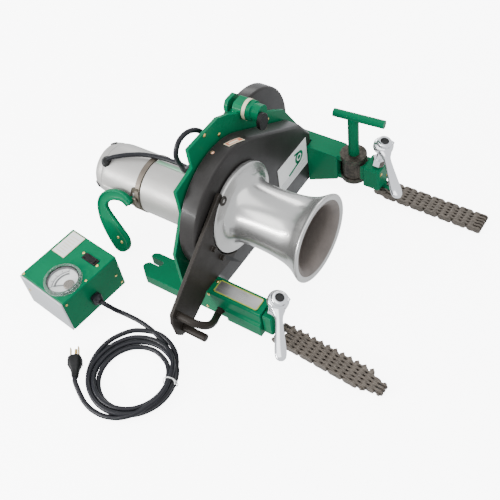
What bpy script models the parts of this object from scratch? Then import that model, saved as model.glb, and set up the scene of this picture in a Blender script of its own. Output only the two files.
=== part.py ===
"""Capstan cable puller with two chain vise arms and a separate force meter box.

Lengths are in millimetres in the functions and metres in the scene. The capstan
axis is the line y = 0, z = 0 along +X. The floor is at z = FLOOR.
"""
import math

import bmesh
import bpy
from mathutils import Matrix, Vector

MM = 0.001
FLOOR = -134.0
SHIFT = Vector((-6.576, 1.207, 134.0))
GAP = 0.3

PLATE_X = (-50.0, -44.0)
GUARD_X = (-40.0, -10.0)
GUARD_R = 113.0
GUARD_WALL = 3.0
REAR_X = (-97.0, -75.0)
REAR_R = 103.0
NOSE_R = 36.0
JACK = (148.0, -22.0)
MOTOR = (7.0, -43.0)
MOTOR_R = 50.0
SHAFT_R = 12.0
JACK_R = 10.0
ROTOR_R = 8.0
RUN = 0.3

CAPSTAN_R = 72.0
CAPSTAN_L = 140.0
FLANGE_R = 77.0
CAPSTAN_TEETH = 42
PINION_TEETH = 10
REAR_TEETH = 38
ROTOR_TEETH = 9

BARREL = (98.0, 112.0)
BARREL_R = 17.0
KNOB = (89.0, 106.5)
SLEEVE_END = -13.0
RAIL_Y = (-120.0, -86.0)
RAIL_TOP = -80.0
RAIL_END = 97.0
ARM_Y = (208.0, 246.0)
ARM_TOP = -50.0
KNUCKLE = (72.0, 230.0)
PIN_R = 7.0

BOX_CENTRE = (-228.0, -197.0)
BOX_SIZE = (107.0, 121.0, 72.0)
BOX_YAW = -7.0
CORD_R = 4.0
COIL_CENTRE = (-45.0, -285.0)
COIL_R = (51.5, 77.0)
COIL_H = 15.0

CHAIN_PITCH = 13.0
CHAIN_HALF = 17.5
CHAIN_Z = FLOOR + 8.0
NEAR_CHAIN = ((123.5, -107.5, CHAIN_Z), -3.8, 15)
FAR_CHAIN = ((136.5, 243.5, CHAIN_Z), -0.5, 14)
LEG_PIVOT = (-205.0, -53.7, -36.8)


def wipe():
    for ob in list(bpy.data.objects):
        bpy.data.objects.remove(ob, do_unlink=True)


def material(name, colour, metallic, roughness):
    mat = bpy.data.materials.new(name)
    mat.use_nodes = True
    node = mat.node_tree.nodes["Principled BSDF"]
    node.inputs["Base Color"].default_value = (*colour, 1.0)
    node.inputs["Metallic"].default_value = metallic
    node.inputs["Roughness"].default_value = roughness
    return mat


PARTS = {}
LOOKS = {}


def make_looks():
    LOOKS["green"] = material("green_enamel", (0.0, 0.30, 0.13), 0.1, 0.35)
    LOOKS["black"] = material("black_paint", (0.05, 0.047, 0.045), 0.1, 0.4)
    LOOKS["bright"] = material("bright_cast", (0.62, 0.60, 0.58), 0.9, 0.25)
    LOOKS["steel"] = material("steel", (0.42, 0.41, 0.40), 0.9, 0.4)
    LOOKS["chrome"] = material("chrome_tool", (0.78, 0.78, 0.80), 1.0, 0.15)
    LOOKS["cast"] = material("motor_cast", (0.52, 0.51, 0.49), 0.6, 0.45)
    LOOKS["chain"] = material("chain_steel", (0.20, 0.17, 0.14), 0.8, 0.5)
    LOOKS["rubber"] = material("rubber", (0.04, 0.04, 0.045), 0.0, 0.6)
    LOOKS["plastic"] = material("black_plastic", (0.03, 0.03, 0.032), 0.0, 0.45)
    LOOKS["white"] = material("white_label", (0.80, 0.80, 0.78), 0.0, 0.5)
    LOOKS["plate"] = material("metal_plate", (0.62, 0.63, 0.62), 0.8, 0.35)
    LOOKS["silver"] = material("silver_panel", (0.66, 0.67, 0.69), 0.7, 0.3)
    LOOKS["glass"] = material("glass", (0.85, 0.88, 0.90), 0.0, 0.05)
    LOOKS["red"] = material("red_label", (0.75, 0.20, 0.12), 0.0, 0.5)


def raw(name, bm):
    bmesh.ops.remove_doubles(bm, verts=bm.verts, dist=0.0005)
    bmesh.ops.recalc_face_normals(bm, faces=bm.faces)
    mesh = bpy.data.meshes.new(name)
    bm.to_mesh(mesh)
    bm.free()
    return bpy.data.objects.new(name, mesh)


def prism(loops, low, high, axis="X"):
    """Flat outline with optional holes, extruded along an axis.

    Loop points are (y, z) for X, (z, x) for Y and (x, y) for Z.
    """
    curve = bpy.data.curves.new("outline", "CURVE")
    curve.dimensions = "2D"
    curve.fill_mode = "BOTH"
    curve.extrude = (high - low) / 2
    for loop in loops:
        spline = curve.splines.new("POLY")
        spline.points.add(len(loop) - 1)
        for point, (u, v) in zip(spline.points, loop):
            point.co = (u, v, 0.0, 1.0)
        spline.use_cyclic_u = True
    holder = bpy.data.objects.new("outline", curve)
    bpy.context.scene.collection.objects.link(holder)
    graph = bpy.context.evaluated_depsgraph_get()
    mesh = bpy.data.meshes.new_from_object(holder.evaluated_get(graph))
    bpy.data.objects.remove(holder, do_unlink=True)
    bm = bmesh.new()
    bm.from_mesh(mesh)
    middle = (low + high) / 2
    for vert in bm.verts:
        u, v, w = vert.co
        if axis == "X":
            vert.co = (w + middle, u, v)
        elif axis == "Y":
            vert.co = (v, w + middle, u)
        else:
            vert.co = (u, v, w + middle)
    return raw("prism", bm)


def turned(profile, centre=(0.0, 0.0, 0.0), axis=(1.0, 0.0, 0.0), steps=32):
    """Solid of revolution from a closed profile of (along, radius) points."""
    bm = bmesh.new()
    verts = [bm.verts.new((a, 0.0, max(r, 0.0))) for a, r in profile]
    on_axis = profile[0][1] == 0.0 and profile[-1][1] == 0.0
    edges = [bm.edges.new((verts[i], verts[i + 1])) for i in range(len(verts) - 1)]
    if not on_axis:
        edges.append(bm.edges.new((verts[-1], verts[0])))
    bmesh.ops.spin(bm, geom=verts + edges, cent=(0, 0, 0), axis=(1, 0, 0), steps=steps,
                   angle=math.tau, use_merge=True)
    turn = Vector((1, 0, 0)).rotation_difference(Vector(axis)).to_matrix().to_4x4()
    bm.transform(Matrix.Translation(centre) @ turn)
    return raw("turned", bm)


def rod(start, end, radius, steps=16, end_radius=None):
    start = Vector(start)
    end = Vector(end)
    length = (end - start).length
    top = radius if end_radius is None else end_radius
    profile = [(0.0, 0.0), (0.0, radius), (length, top), (length, 0.0)]
    return turned(profile, start, (end - start).normalized(), steps)


def ring(start, end, inner, outer, steps=32):
    start = Vector(start)
    end = Vector(end)
    length = (end - start).length
    profile = [(0.0, inner), (0.0, outer), (length, outer), (length, inner)]
    return turned(profile, start, (end - start).normalized(), steps)


def block(low, high, bevel=0.0):
    bm = bmesh.new()
    bmesh.ops.create_cube(bm, size=1.0)
    low = Vector(low)
    high = Vector(high)
    size = high - low
    bm.transform(Matrix.Translation((low + high) / 2) @ Matrix.Diagonal((*size, 1.0)))
    if bevel:
        bmesh.ops.bevel(bm, geom=bm.edges[:], offset=bevel, segments=1, affect="EDGES")
    return raw("block", bm)


def tube(points, radius, resolution=3):
    curve = bpy.data.curves.new("path", "CURVE")
    curve.dimensions = "3D"
    curve.bevel_depth = radius
    curve.bevel_resolution = resolution
    curve.use_fill_caps = True
    spline = curve.splines.new("POLY")
    spline.points.add(len(points) - 1)
    for point, co in zip(spline.points, points):
        point.co = (*co, 1.0)
    holder = bpy.data.objects.new("path", curve)
    bpy.context.scene.collection.objects.link(holder)
    graph = bpy.context.evaluated_depsgraph_get()
    mesh = bpy.data.meshes.new_from_object(holder.evaluated_get(graph))
    bpy.data.objects.remove(holder, do_unlink=True)
    bm = bmesh.new()
    bm.from_mesh(mesh)
    return raw("tube", bm)


def combine(first, others, operation):
    scene = bpy.context.scene.collection
    scene.objects.link(first)
    for other in others:
        scene.objects.link(other)
        step = first.modifiers.new("join", "BOOLEAN")
        step.operation = operation
        step.solver = "EXACT"
        step.object = other
    bpy.context.view_layer.update()
    graph = bpy.context.evaluated_depsgraph_get()
    mesh = bpy.data.meshes.new_from_object(first.evaluated_get(graph))
    for ob in [first, *others]:
        bpy.data.objects.remove(ob, do_unlink=True)
    bm = bmesh.new()
    bm.from_mesh(mesh)
    bmesh.ops.dissolve_limit(bm, angle_limit=0.002, verts=bm.verts, edges=bm.edges)
    bmesh.ops.triangulate(bm, faces=[f for f in bm.faces if len(f.verts) > 4])
    return raw("joined", bm)


def joined(*obs):
    return combine(obs[0], list(obs[1:]), "UNION")


def cut(body, *tools):
    return combine(body, list(tools), "DIFFERENCE")


def moved(ob, matrix):
    ob.data.transform(matrix)
    return ob


def part(name, ob, look, origin=(0.0, 0.0, 0.0), parent=None):
    """Name the piece, put its origin in place and file it."""
    origin = Vector(origin)
    ob.name = name
    ob.data.name = name
    ob.data.transform(Matrix.Diagonal((MM, MM, MM, 1.0)) @ Matrix.Translation(-origin))
    ob.location = (origin + SHIFT) * MM
    ob.data.materials.clear()
    ob.data.materials.append(LOOKS[look])
    PARTS["collection"].objects.link(ob)
    PARTS[name] = ob
    if parent:
        ob.parent = PARTS[parent]
        ob.matrix_parent_inverse = Matrix.Translation(-PARTS[parent].location)
    return ob


def arc(centre, radius, start, end, count):
    points = []
    for i in range(count):
        a = math.radians(start + (end - start) * i / (count - 1))
        points.append((centre[0] + radius * math.cos(a), centre[1] + radius * math.sin(a)))
    return points


def circle(centre, radius, count=32):
    return arc(centre, radius, 0.0, 360.0 - 360.0 / count, count)


def belt(centre_a, radius_a, centre_b, radius_b, count=20):
    """Outline of a belt round two circles, in counter-clockwise order."""
    dx = centre_b[0] - centre_a[0]
    dy = centre_b[1] - centre_a[1]
    heading = math.degrees(math.atan2(dy, dx))
    lean = math.degrees(math.acos((radius_a - radius_b) / math.hypot(dx, dy)))
    first = arc(centre_a, radius_a, heading + lean, heading + 360.0 - lean, count)
    second = arc(centre_b, radius_b, heading - lean, heading + lean, max(6, count // 2))
    return first + second


def cog(centre, tip, teeth, depth=4.0):
    points = []
    for i in range(teeth):
        for share, radius in ((-0.36, tip - depth), (-0.16, tip), (0.16, tip), (0.36, tip - depth)):
            a = math.tau * (i + share) / teeth
            points.append((centre[0] + radius * math.cos(a), centre[1] + radius * math.sin(a)))
    return points


def guard_outline(wall):
    """Front guard outline, a set wall thickness in from the outside."""
    tangent = 58.0
    slope = math.radians(tangent)
    normal = (math.cos(slope), math.sin(slope))
    far = 195.0
    z_far = (GUARD_R - normal[0] * far) / normal[1]
    points = arc((0.0, 0.0), GUARD_R - wall, tangent, 222.0, 30)
    floor_z = FLOOR + 0.5 + wall
    points.append((-60.0 + wall * 1.2, floor_z))
    points.append((224.0 - wall, floor_z))
    points.append((224.0 - wall, -30.0 - wall * 0.4))
    points.append((far - wall * 0.3, z_far - wall * 1.1))
    return points


def frame_plate():
    outline = [(-46.0, 146.0), (30.0, 146.0), (54.0, 134.0), (199.0, 29.0), (240.0, -40.0),
               (246.0, -50.0), (246.0, FLOOR + 2), (-126.0, FLOOR + 2), (-126.0, -8.0),
               (-90.0, 52.0), (-90.0, 99.0), (-46.0, 109.0)]
    outline.reverse()
    holes = [circle((0.0, 0.0), 20.0), circle(JACK, 14.0, 24)]
    notch = rod((PLATE_X[0] - 5, *BARREL), (PLATE_X[1] + 5, *BARREL), BARREL_R + 0.5, 28)
    part("frame_plate", cut(prism([outline, *holes], *PLATE_X), notch), "green")


def near_rail():
    y0, y1 = RAIL_Y
    bar = prism([[(y1, FLOOR), (y1, RAIL_TOP), (y0 + 2, RAIL_TOP), (y0, RAIL_TOP - 3), (y0, FLOOR)]],
                PLATE_X[1] + GAP, RAIL_END)
    ledge = prism([[(y0 + 5, FLOOR), (y0 + 5, -102.0), (y0, -102.0), (y0 - 4, -107.0), (y0 - 4, FLOOR)]],
                  31.0, RAIL_END)
    hole = rod((18.0, y0 - 1, -118.0), (18.0, y0 + 12, -118.0), 6.9, 16)
    part("near_rail", cut(joined(bar, ledge), hole), "green")


def near_foot():
    y0, y1 = -125.0, -75.0
    back = -150.0
    mouth = arc((-126.0, -93.0), 5.5, -90.0, 90.0, 9)
    outline = [(PLATE_X[0] - GAP, y0), (PLATE_X[0] - GAP, y1), (-140.0, y1), (back + 3, y1 - 3),
               (back, y1 - 7), (back, -87.5), *reversed(mouth), (back + 6, -98.5), (back, -105.0),
               (back, y0 + 14), (back + 16, y0)]
    part("near_foot", prism([outline], FLOOR, FLOOR + 22.0, "Z"), "green")


def far_arm():
    y0, y1 = ARM_Y
    arm = prism([[(FLOOR, -9.5), (ARM_TOP, -9.5), (ARM_TOP, 50.0), (-104.0, 50.0)]], y0, y1, "Y")
    root = block((PLATE_X[1] + GAP, 226.5, FLOOR), (-5.0, y1, ARM_TOP))
    kx, ky = KNUCKLE
    upper = joined(rod((kx, ky, -60.0), (kx, ky, ARM_TOP), 23.0, 28), block((40.0, 212.0, -60.0), (kx, 244.0, ARM_TOP)))
    lower = joined(rod((kx, ky, -104.0), (kx, ky, -94.0), 23.0, 28), block((40.0, 212.0, -104.0), (kx, 244.0, -94.0)))
    body = joined(arm, root, upper, lower)
    hole = rod((kx, ky, -110.0), (kx, ky, -40.0), PIN_R + RUN, 20)
    part("far_arm", cut(body, hole), "green")


def top_bracket():
    barrel = rod((-74.0, *BARREL), (-27.0, *BARREL), BARREL_R, 28)
    slot = block((-67.0, 60.0, BARREL[1] - 4), (-58.0, 130.0, BARREL[1] + 30))
    flat = block((-80.0, 60.0, BARREL[1] + BARREL_R - 2.5), (-20.0, 130.0, BARREL[1] + 30))
    seat = prism([[(92.0, 90.0), (150.0, 50.0), (152.0, 66.0), (140.0, 80.0), (108.0, 100.0)]],
                 -70.0, PLATE_X[0] - GAP)
    sleeve = rod((-30.0, *BARREL), (SLEEVE_END, *BARREL), 14.5, 24)
    part("top_bracket", joined(cut(barrel, slot, flat), sleeve, seat), "green")


def guards():
    x0, x1 = GUARD_X
    shell = prism([guard_outline(0.0)], x0, x1)
    cavity = prism([guard_outline(GUARD_WALL)], x0 - 1, x1 - GUARD_WALL)
    eye = rod((x0, 0, 0), (x1 + 1, 0, 0), 34.0, 32)
    part("front_guard", cut(shell, cavity, eye), "black")
    rx0, rx1 = REAR_X
    shell = prism([belt(JACK, REAR_R, MOTOR, NOSE_R, 40)], rx0, rx1)
    cavity = prism([belt(JACK, REAR_R - 3, MOTOR, NOSE_R - 3, 40)], rx0 - 1, rx1 - 3)
    eye = rod((rx0, *JACK), (rx1 + 1, *JACK), JACK_R + 2, 24)
    part("rear_guard", cut(shell, cavity, eye), "black")
    cover = [belt(JACK, REAR_R, MOTOR, NOSE_R, 40), circle(MOTOR, ROTOR_R + 2, 20)]
    part("rear_cover", prism(cover, rx0 - 2.3, rx0 - GAP), "black")


def bearings():
    x0, x1 = PLATE_X[0] - 4, PLATE_X[1] + 3
    part("capstan_bearing", ring((x0, 0, 0), (x1, 0, 0), SHAFT_R + RUN, 19.7), "steel")
    part("jack_bearing", ring((x0, *JACK), (x1, *JACK), JACK_R + RUN, 13.7, 24), "steel")


def capstan():
    back = -8.5
    outer = [(back, FLANGE_R), (-2.0, FLANGE_R), (0.0, 75.0), (2.5, 64.0), (7.0, 57.0), (14.0, 53.0),
             (26.0, 51.0), (45.0, 50.0), (65.0, 50.6), (85.0, 52.4), (103.0, 55.4), (117.0, 60.0),
             (127.0, 65.5), (134.0, 70.6), (137.5, CAPSTAN_R), (CAPSTAN_L, CAPSTAN_R - 0.8),
             (CAPSTAN_L - 0.6, 67.0), (136.0, 54.5), (131.0, 50.5), (120.0, 47.0), (20.0, 45.0),
             (16.0, 41.0), (16.0, SHAFT_R + RUN), (back, SHAFT_R + RUN)]
    part("capstan_drum", turned(outer, steps=64), "bright", (0, 0, 0))
    part("capstan_shaft", rod((-60.0, 0, 0), (18.0, 0, 0), SHAFT_R, 32), "steel", (0, 0, 0), "capstan_drum")
    bolt = joined(rod((18.3, 0, 0), (22.3, 0, 0), 20.0, 24), rod((20.0, 0, 0), (32.0, 0, 0), 11.0, 6))
    part("capstan_bolt", bolt, "steel", (0, 0, 0), "capstan_drum")
    wheel = prism([cog((0, 0), 93.0, CAPSTAN_TEETH), circle((0, 0), SHAFT_R + RUN, 32)], -30.0, -22.0)
    part("capstan_sprocket", wheel, "steel", (0, 0, 0), "capstan_drum")


def jackshaft():
    part("jack_shaft", rod((-93.0, *JACK), (-20.0, *JACK), JACK_R, 24), "steel", (-56.0, *JACK))
    pinion = prism([cog(JACK, 24.0, PINION_TEETH), circle(JACK, JACK_R + RUN, 24)], -30.0, -22.0)
    part("jack_pinion", pinion, "steel", (-26.0, *JACK), "jack_shaft")
    wheel = prism([cog(JACK, 86.0, REAR_TEETH), circle(JACK, JACK_R + RUN, 24)], -91.0, -83.0)
    part("jack_sprocket", wheel, "steel", (-87.0, *JACK), "jack_shaft")


def rotor():
    part("motor_shaft", rod((-150.0, *MOTOR), (-80.0, *MOTOR), ROTOR_R, 24), "steel", (-115.0, *MOTOR))
    wheel = prism([cog(MOTOR, 22.0, ROTOR_TEETH), circle(MOTOR, ROTOR_R + RUN, 24)], -91.0, -83.0)
    part("motor_sprocket", wheel, "steel", (-87.0, *MOTOR), "motor_shaft")


def drive_chains():
    front = [belt((0, 0), 98.0, JACK, 29.0, 40), belt((0, 0), 93.6, JACK, 24.6, 40)]
    part("front_drive_chain", prism(front, -29.0, -23.0), "chain")
    rear = [belt(JACK, 91.0, MOTOR, 27.0, 40), belt(JACK, 86.6, MOTOR, 22.6, 40)]
    part("rear_drive_chain", prism(rear, -90.0, -84.0), "chain")


def motor():
    x = REAR_X[0] - 2.3 - GAP
    r = MOTOR_R
    bore = ROTOR_R + 0.6
    gear = [(-152.0, 0.0), (-152.0, bore), (x, bore), (x, r - 5), (x - 6, r), (-188.0, r), (-188.0, 0.0)]
    part("gear_housing", turned(gear, (0, *MOTOR), steps=40), "cast")
    part("motor_band", ring((-199.0, *MOTOR), (-188.3, *MOTOR), r - 6, r + 1.5, 40), "steel")
    body = [(-188.3, 0.0), (-188.3, r - 6.3), (-199.3, r - 6.3), (-199.3, r), (-262.0, r - 1), (-276.0, r - 3),
            (-276.0, 0.0)]
    body.reverse()
    part("motor_body", turned(body, (0, *MOTOR), steps=40), "cast")
    cap = [(-276.3, 0.0), (-276.3, r - 3.5), (-288.0, r - 5.0), (-293.5, r - 9.0), (-296.5, r - 19.0),
           (-297.0, r - 30.0), (-297.0, 0.0)]
    cap.reverse()
    part("motor_cap", turned(cap, (0, *MOTOR), steps=40), "cast")


def side_leg():
    """Hook-shaped support leg on the motor's near side."""
    spine = [(3.0, 1.0), (-9.5, -5.8), (-25.0, -5.5), (-41.5, 1.3), (-52.4, 12.0), (-55.3, 24.8),
             (-51.3, 36.0), (-43.9, 46.9), (-33.0, 58.5), (-20.9, 69.7), (-10.1, 79.0)]
    widths = [8.5, 9.2, 9.8, 9.8, 10.0, 11.0, 13.4, 15.8, 17.6, 18.8, 19.4]
    left = []
    right = []
    for i, (u, v) in enumerate(spine):
        u0, v0 = spine[max(i - 1, 0)]
        u1, v1 = spine[min(i + 1, len(spine) - 1)]
        length = math.hypot(u1 - u0, v1 - v0)
        nu, nv = -(v1 - v0) / length, (u1 - u0) / length
        left.append((u + nu * widths[i], v + nv * widths[i]))
        right.append((u - nu * widths[i], v - nv * widths[i]))
    end = spine[-1]
    heading = math.degrees(math.atan2(end[1] - spine[-2][1], end[0] - spine[-2][0]))
    tip = arc(end, widths[-1], heading + 90.0, heading - 90.0, 9)[1:-1]
    outline = [*left, *tip, *reversed(right)]
    ob = prism([outline], -5.0, 5.0, "Z")
    lean = math.radians(25.0)
    x, y, z = LEG_PIVOT
    frame = Matrix(((1, 0, 0, x), (0, -math.sin(lean), math.cos(lean), y),
                    (0, -math.cos(lean), -math.sin(lean), z), (0, 0, 0, 1)))
    bm = bmesh.new()
    bm.from_mesh(moved(ob, frame).data)
    bolt = rod((x, y - 1.0, z), (x, -43.2, z), 6.0, 12)
    part("side_leg", joined(raw("leg", bm), bolt), "green", LEG_PIVOT)


def rope_ramp():
    x0, x1 = -7.0, -1.0
    hook = arc((-47.0, 68.0), 6.0, -30.0, 150.0, 7)
    flange = arc((0, 0), 79.5, 247.0, 128.0, 22)
    outline = [*hook, (-203.0, -42.0), (-207.0, -60.0), (-204.0, -94.0), (-195.0, -106.0), (-178.0, -108.0),
               (-153.0, -98.0), (-128.0, -84.0), (-122.0, -77.0), (-46.0, -77.0), *flange]
    plate = prism([outline], x0, x1)
    stud_a = rod((x1 - 2, -86.0, -10.0), (x1 + 6, -86.0, -10.0), 4.5, 12)
    stud_b = rod((x1 - 2, -72.0, -46.0), (x1 + 6, -72.0, -46.0), 4.5, 12)
    pivot = (18.0, -124.0, -118.0)
    part("rope_ramp", joined(plate, stud_a, stud_b), "black", pivot)
    path = [(x1 + GAP, -192.0, -54.0), (12.0, -192.0, -54.0), (26.0, -191.5, -55.0), (36.0, -188.0, -59.0),
            (40.5, -181.0, -67.0), (40.0, -172.0, -77.0), (36.0, -162.0, -88.0), (30.0, -151.0, -100.0),
            (24.0, -142.0, -110.0), (19.5, -134.0, -116.5), (18.0, -128.0, -118.0), (18.0, -113.0, -118.0)]
    part("ramp_rod", tube(path, 6.3), "black", pivot, "rope_ramp")
    part("ramp_peg", rod((x1 + GAP, -188.0, -92.0), (42.0, -188.0, -92.0), 6.5, 16), "black", pivot, "rope_ramp")


def tilt(base, lean, spin=0.0):
    lean = math.radians(lean)
    frame = Matrix.Rotation(lean, 4, "Y") @ Matrix.Rotation(math.radians(spin), 4, "Z")
    return Matrix.Translation(base) @ frame


def wrench(height, reach):
    """Ratchet wrench with its head centred over the local origin at a height."""
    head = ring((0, 0, height - 8), (0, 0, height + 8), 6.2, 17.0, 28)
    side = [(8.0, 11.0), (28.0, 6.0), (reach * 0.55, 6.5), (reach - 18.0, 9.0), (reach - 5.0, 8.6), (reach, 5.0)]
    web = prism([[(x, -y) for x, y in side] + side[::-1]], height - 6.0, height + 3.0, "Z")
    return joined(web, head)


def chain_frame(lay):
    root, yaw, _ = lay
    return Matrix.Translation(root) @ Matrix.Rotation(math.radians(yaw), 4, "Z")


def vises():
    y0, y1 = RAIL_Y
    near = block((RAIL_END + GAP, y0 + 3, -128.0), (RAIL_END + 18, y1 - 3, RAIL_TOP - 4), 2.0)
    yaw = chain_frame(NEAR_CHAIN)
    lug = joined(moved(rod((0, -4, 0), (0, 4, 0), 5.0, 16), yaw.copy()),
                 moved(block((-12.0, -3.8, -4.0), (1.0, 3.8, 4.2)), yaw.copy()))
    eye = moved(rod((0, -6, 0), (0, 6, 0), 3.3, 12), yaw.copy())
    screw_hole = moved(rod((0, 0, -10), (0, 0, 10), 6.8, 16), tilt((109.0, -102.0, RAIL_TOP - 4), 20.0))
    part("near_vise_block", cut(joined(near, lug), eye, screw_hole), "green")
    base = tilt((109.0, -102.0, RAIL_TOP - 4), 20.0)
    screw = joined(rod((0, 0, -9), (0, 0, 33.0), 6.4, 16), rod((0, 0, 3.5), (0, 0, 15.0), 11.0, 6))
    part("near_screw", moved(screw, base), "chrome", (109.0, -102.0, RAIL_TOP - 4))
    handle = moved(wrench(42.5, 95.0), tilt((109.0, -102.0, RAIL_TOP - 4), 20.0, -54.9))
    part("near_wrench", handle, "chrome", (109.0, -102.0, RAIL_TOP - 4), "near_screw")


def far_head():
    kx, ky = KNUCKLE
    hub = rod((kx, ky, -93.5), (kx, ky, -60.5), 21.0, 28)
    neck = block((kx, 216.0, -92.0), (101.0, 244.0, -62.0))
    nut = block((97.5, 212.0, -104.0), (129.0, 252.0, -58.0), 3.0)
    yaw = chain_frame(FAR_CHAIN)
    arm = block((-20.0, -3.8, -4.6), (1.0, 3.8, 4.6))
    riser = block((-20.0, -3.8, -4.6), (-9.0, 3.8, 24.0))
    lug = moved(joined(rod((0, -4, 0), (0, 4, 0), 5.0, 16), arm, riser), yaw.copy())
    eye = moved(rod((0, -6, 0), (0, 6, 0), 3.3, 12), yaw.copy())
    pin_hole = rod((kx, ky, -100.0), (kx, ky, -50.0), PIN_R + RUN, 20)
    base = (118.0, 229.0, -58.0)
    screw_hole = moved(rod((0, 0, -34), (0, 0, 10), 7.0, 16), tilt(base, 12.0))
    head = cut(joined(hub, neck, nut, lug), pin_hole, eye, screw_hole)
    part("far_vise_head", head, "green", (kx, ky, -77.0))
    screw = joined(rod((0, 0, -24), (0, 0, 42.0), 6.4, 16), rod((0, 0, 3.5), (0, 0, 20.0), 11.0, 6))
    part("far_screw", moved(screw, tilt(base, 12.0)), "chrome", base)
    part("far_wrench", moved(wrench(51.5, 107.0), tilt(base, 12.0, -49.7)), "chrome", base, "far_screw")
    stem = turned([(0.0, 0.0), (0.0, PIN_R), (54.5, PIN_R), (54.5, 9.6), (128.0, 9.6), (137.0, 7.0), (137.0, 0.0)],
                  (kx, ky, -104.0), (0, 0, 1), 24)
    bar = rod((38.0, ky - 4.0, 33.5), (128.0, ky + 4.0, 33.5), 7.2, 16)
    part("t_handle_pin", joined(stem, bar), "green", (kx, ky, -77.0))


def vise_chain(name, lay):
    """Leaf chain lying along local X from a pin at the root."""
    top = []
    low = []
    for i in range(lay[2]):
        for share in (-0.3, 0.0, 0.3):
            x = (i + share) * CHAIN_PITCH
            height = 6.8 if share == 0.0 else 5.6
            top.append((height, x))
            low.append((-height, x))
    band = prism([top + list(reversed(low))], -CHAIN_HALF, CHAIN_HALF, "Y")
    fork = block((-20.0, -5.5, -20.0), (CHAIN_PITCH * 0.73, 5.5, 20.0))
    pin = rod((0, -14.0, 0), (0, 14.0, 0), 3.0, 12)
    part(name, moved(joined(cut(band, fork), pin), chain_frame(lay)), "chain", lay[0])


def box_frame():
    return Matrix.Translation((*BOX_CENTRE, 0.0)) @ Matrix.Rotation(math.radians(BOX_YAW), 4, "Z")


def meter_box():
    u, w, h = (s / 2 for s in BOX_SIZE)
    top = FLOOR + 2 * h
    place = box_frame()

    def put(ob):
        return moved(ob, place)

    shell = block((-u, -w + 3.0, FLOOR), (u, w, top), 1.5)
    room = block((-u + 2.5, -w - 5.0, FLOOR + 2.5), (u - 2.5, w - 2.5, top - 2.5))
    dial = (18.2, -25.0)
    hub = (33.2, -25.0)
    rocker = (22.5, 32.0)
    eye = rod((*dial, top - 8), (*dial, top + 2), 26.0, 28)
    slot = block((rocker[0] - 16, rocker[1] - 6.7, top - 6), (rocker[0] + 16, rocker[1] + 6.7, top + 2))
    gland = rod((u - 5, -3.0, -103.0), (u + 2, -3.0, -103.0), 6.5, 16)
    part("meter_box", put(cut(shell, room, eye, slot, gland)), "green")
    part("box_end_panel", put(block((-u + 1, -w, FLOOR + 1), (u - 1, -w + 2.7, top - 1))), "silver")
    part("dial_bezel", put(ring((*dial, top + GAP), (*dial, top + 7), 27.0, 32.0, 36)), "plate")
    part("dial_face", put(rod((*dial, top - 1.2), (*dial, top - 0.4), 25.6, 28)), "white")
    turn = Matrix.Translation((*hub, top)) @ Matrix.Rotation(math.radians(42.0), 4, "Z")
    needle = joined(rod((0, 0, 0), (0, 0, 2.4), 3.0, 12), block((-27.0, -0.8, 0.8), (0.0, 0.8, 1.8)))
    part("dial_needle", put(moved(needle, turn)), "plastic", place @ Vector((*hub, top + 1.4)))
    part("dial_glass", put(rod((*dial, top + 3.2), (*dial, top + 4.6), 26.6, 28)), "glass")
    frame = cut(block((rocker[0] - 15.5, rocker[1] - 6.2, top - 5), (rocker[0] + 15.5, rocker[1] + 6.2, top + 1.2)),
                block((rocker[0] - 12.5, rocker[1] - 4.2, top - 3.4), (rocker[0] + 12.5, rocker[1] + 4.2, top + 2)))
    part("switch_frame", put(frame), "plastic")
    key = prism([[(top - 1.2, rocker[0] - 11.0), (top + 3.2, rocker[0] - 11.0), (top + 0.6, rocker[0]),
                  (top + 1.4, rocker[0] + 11.0), (top - 1.2, rocker[0] + 11.0), (top - 3.0, rocker[0])]],
                rocker[1] - 3.8, rocker[1] + 3.8, "Y")
    part("switch_rocker", put(key), "plastic", place @ Vector((*rocker, top - 1.0)))
    label = block((-u + 6, 7.0, top + GAP), (-u + 36, 57.0, top + 0.9))
    part("box_label", put(label), "white")
    relief = joined(rod((u - 5.5, -3.0, -103.0), (u + 2.0, -3.0, -103.0), 5.0, 16),
                    block((u + GAP, -12.0, -112.0), (u + 12.0, 6.0, -94.0), 2.5),
                    rod((u + 11.0, -3.0, -103.0), (u + 16.5, -3.0, -103.0), 7.5, 20, 5.4))
    part("cord_gland", put(relief), "rubber")


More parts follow.
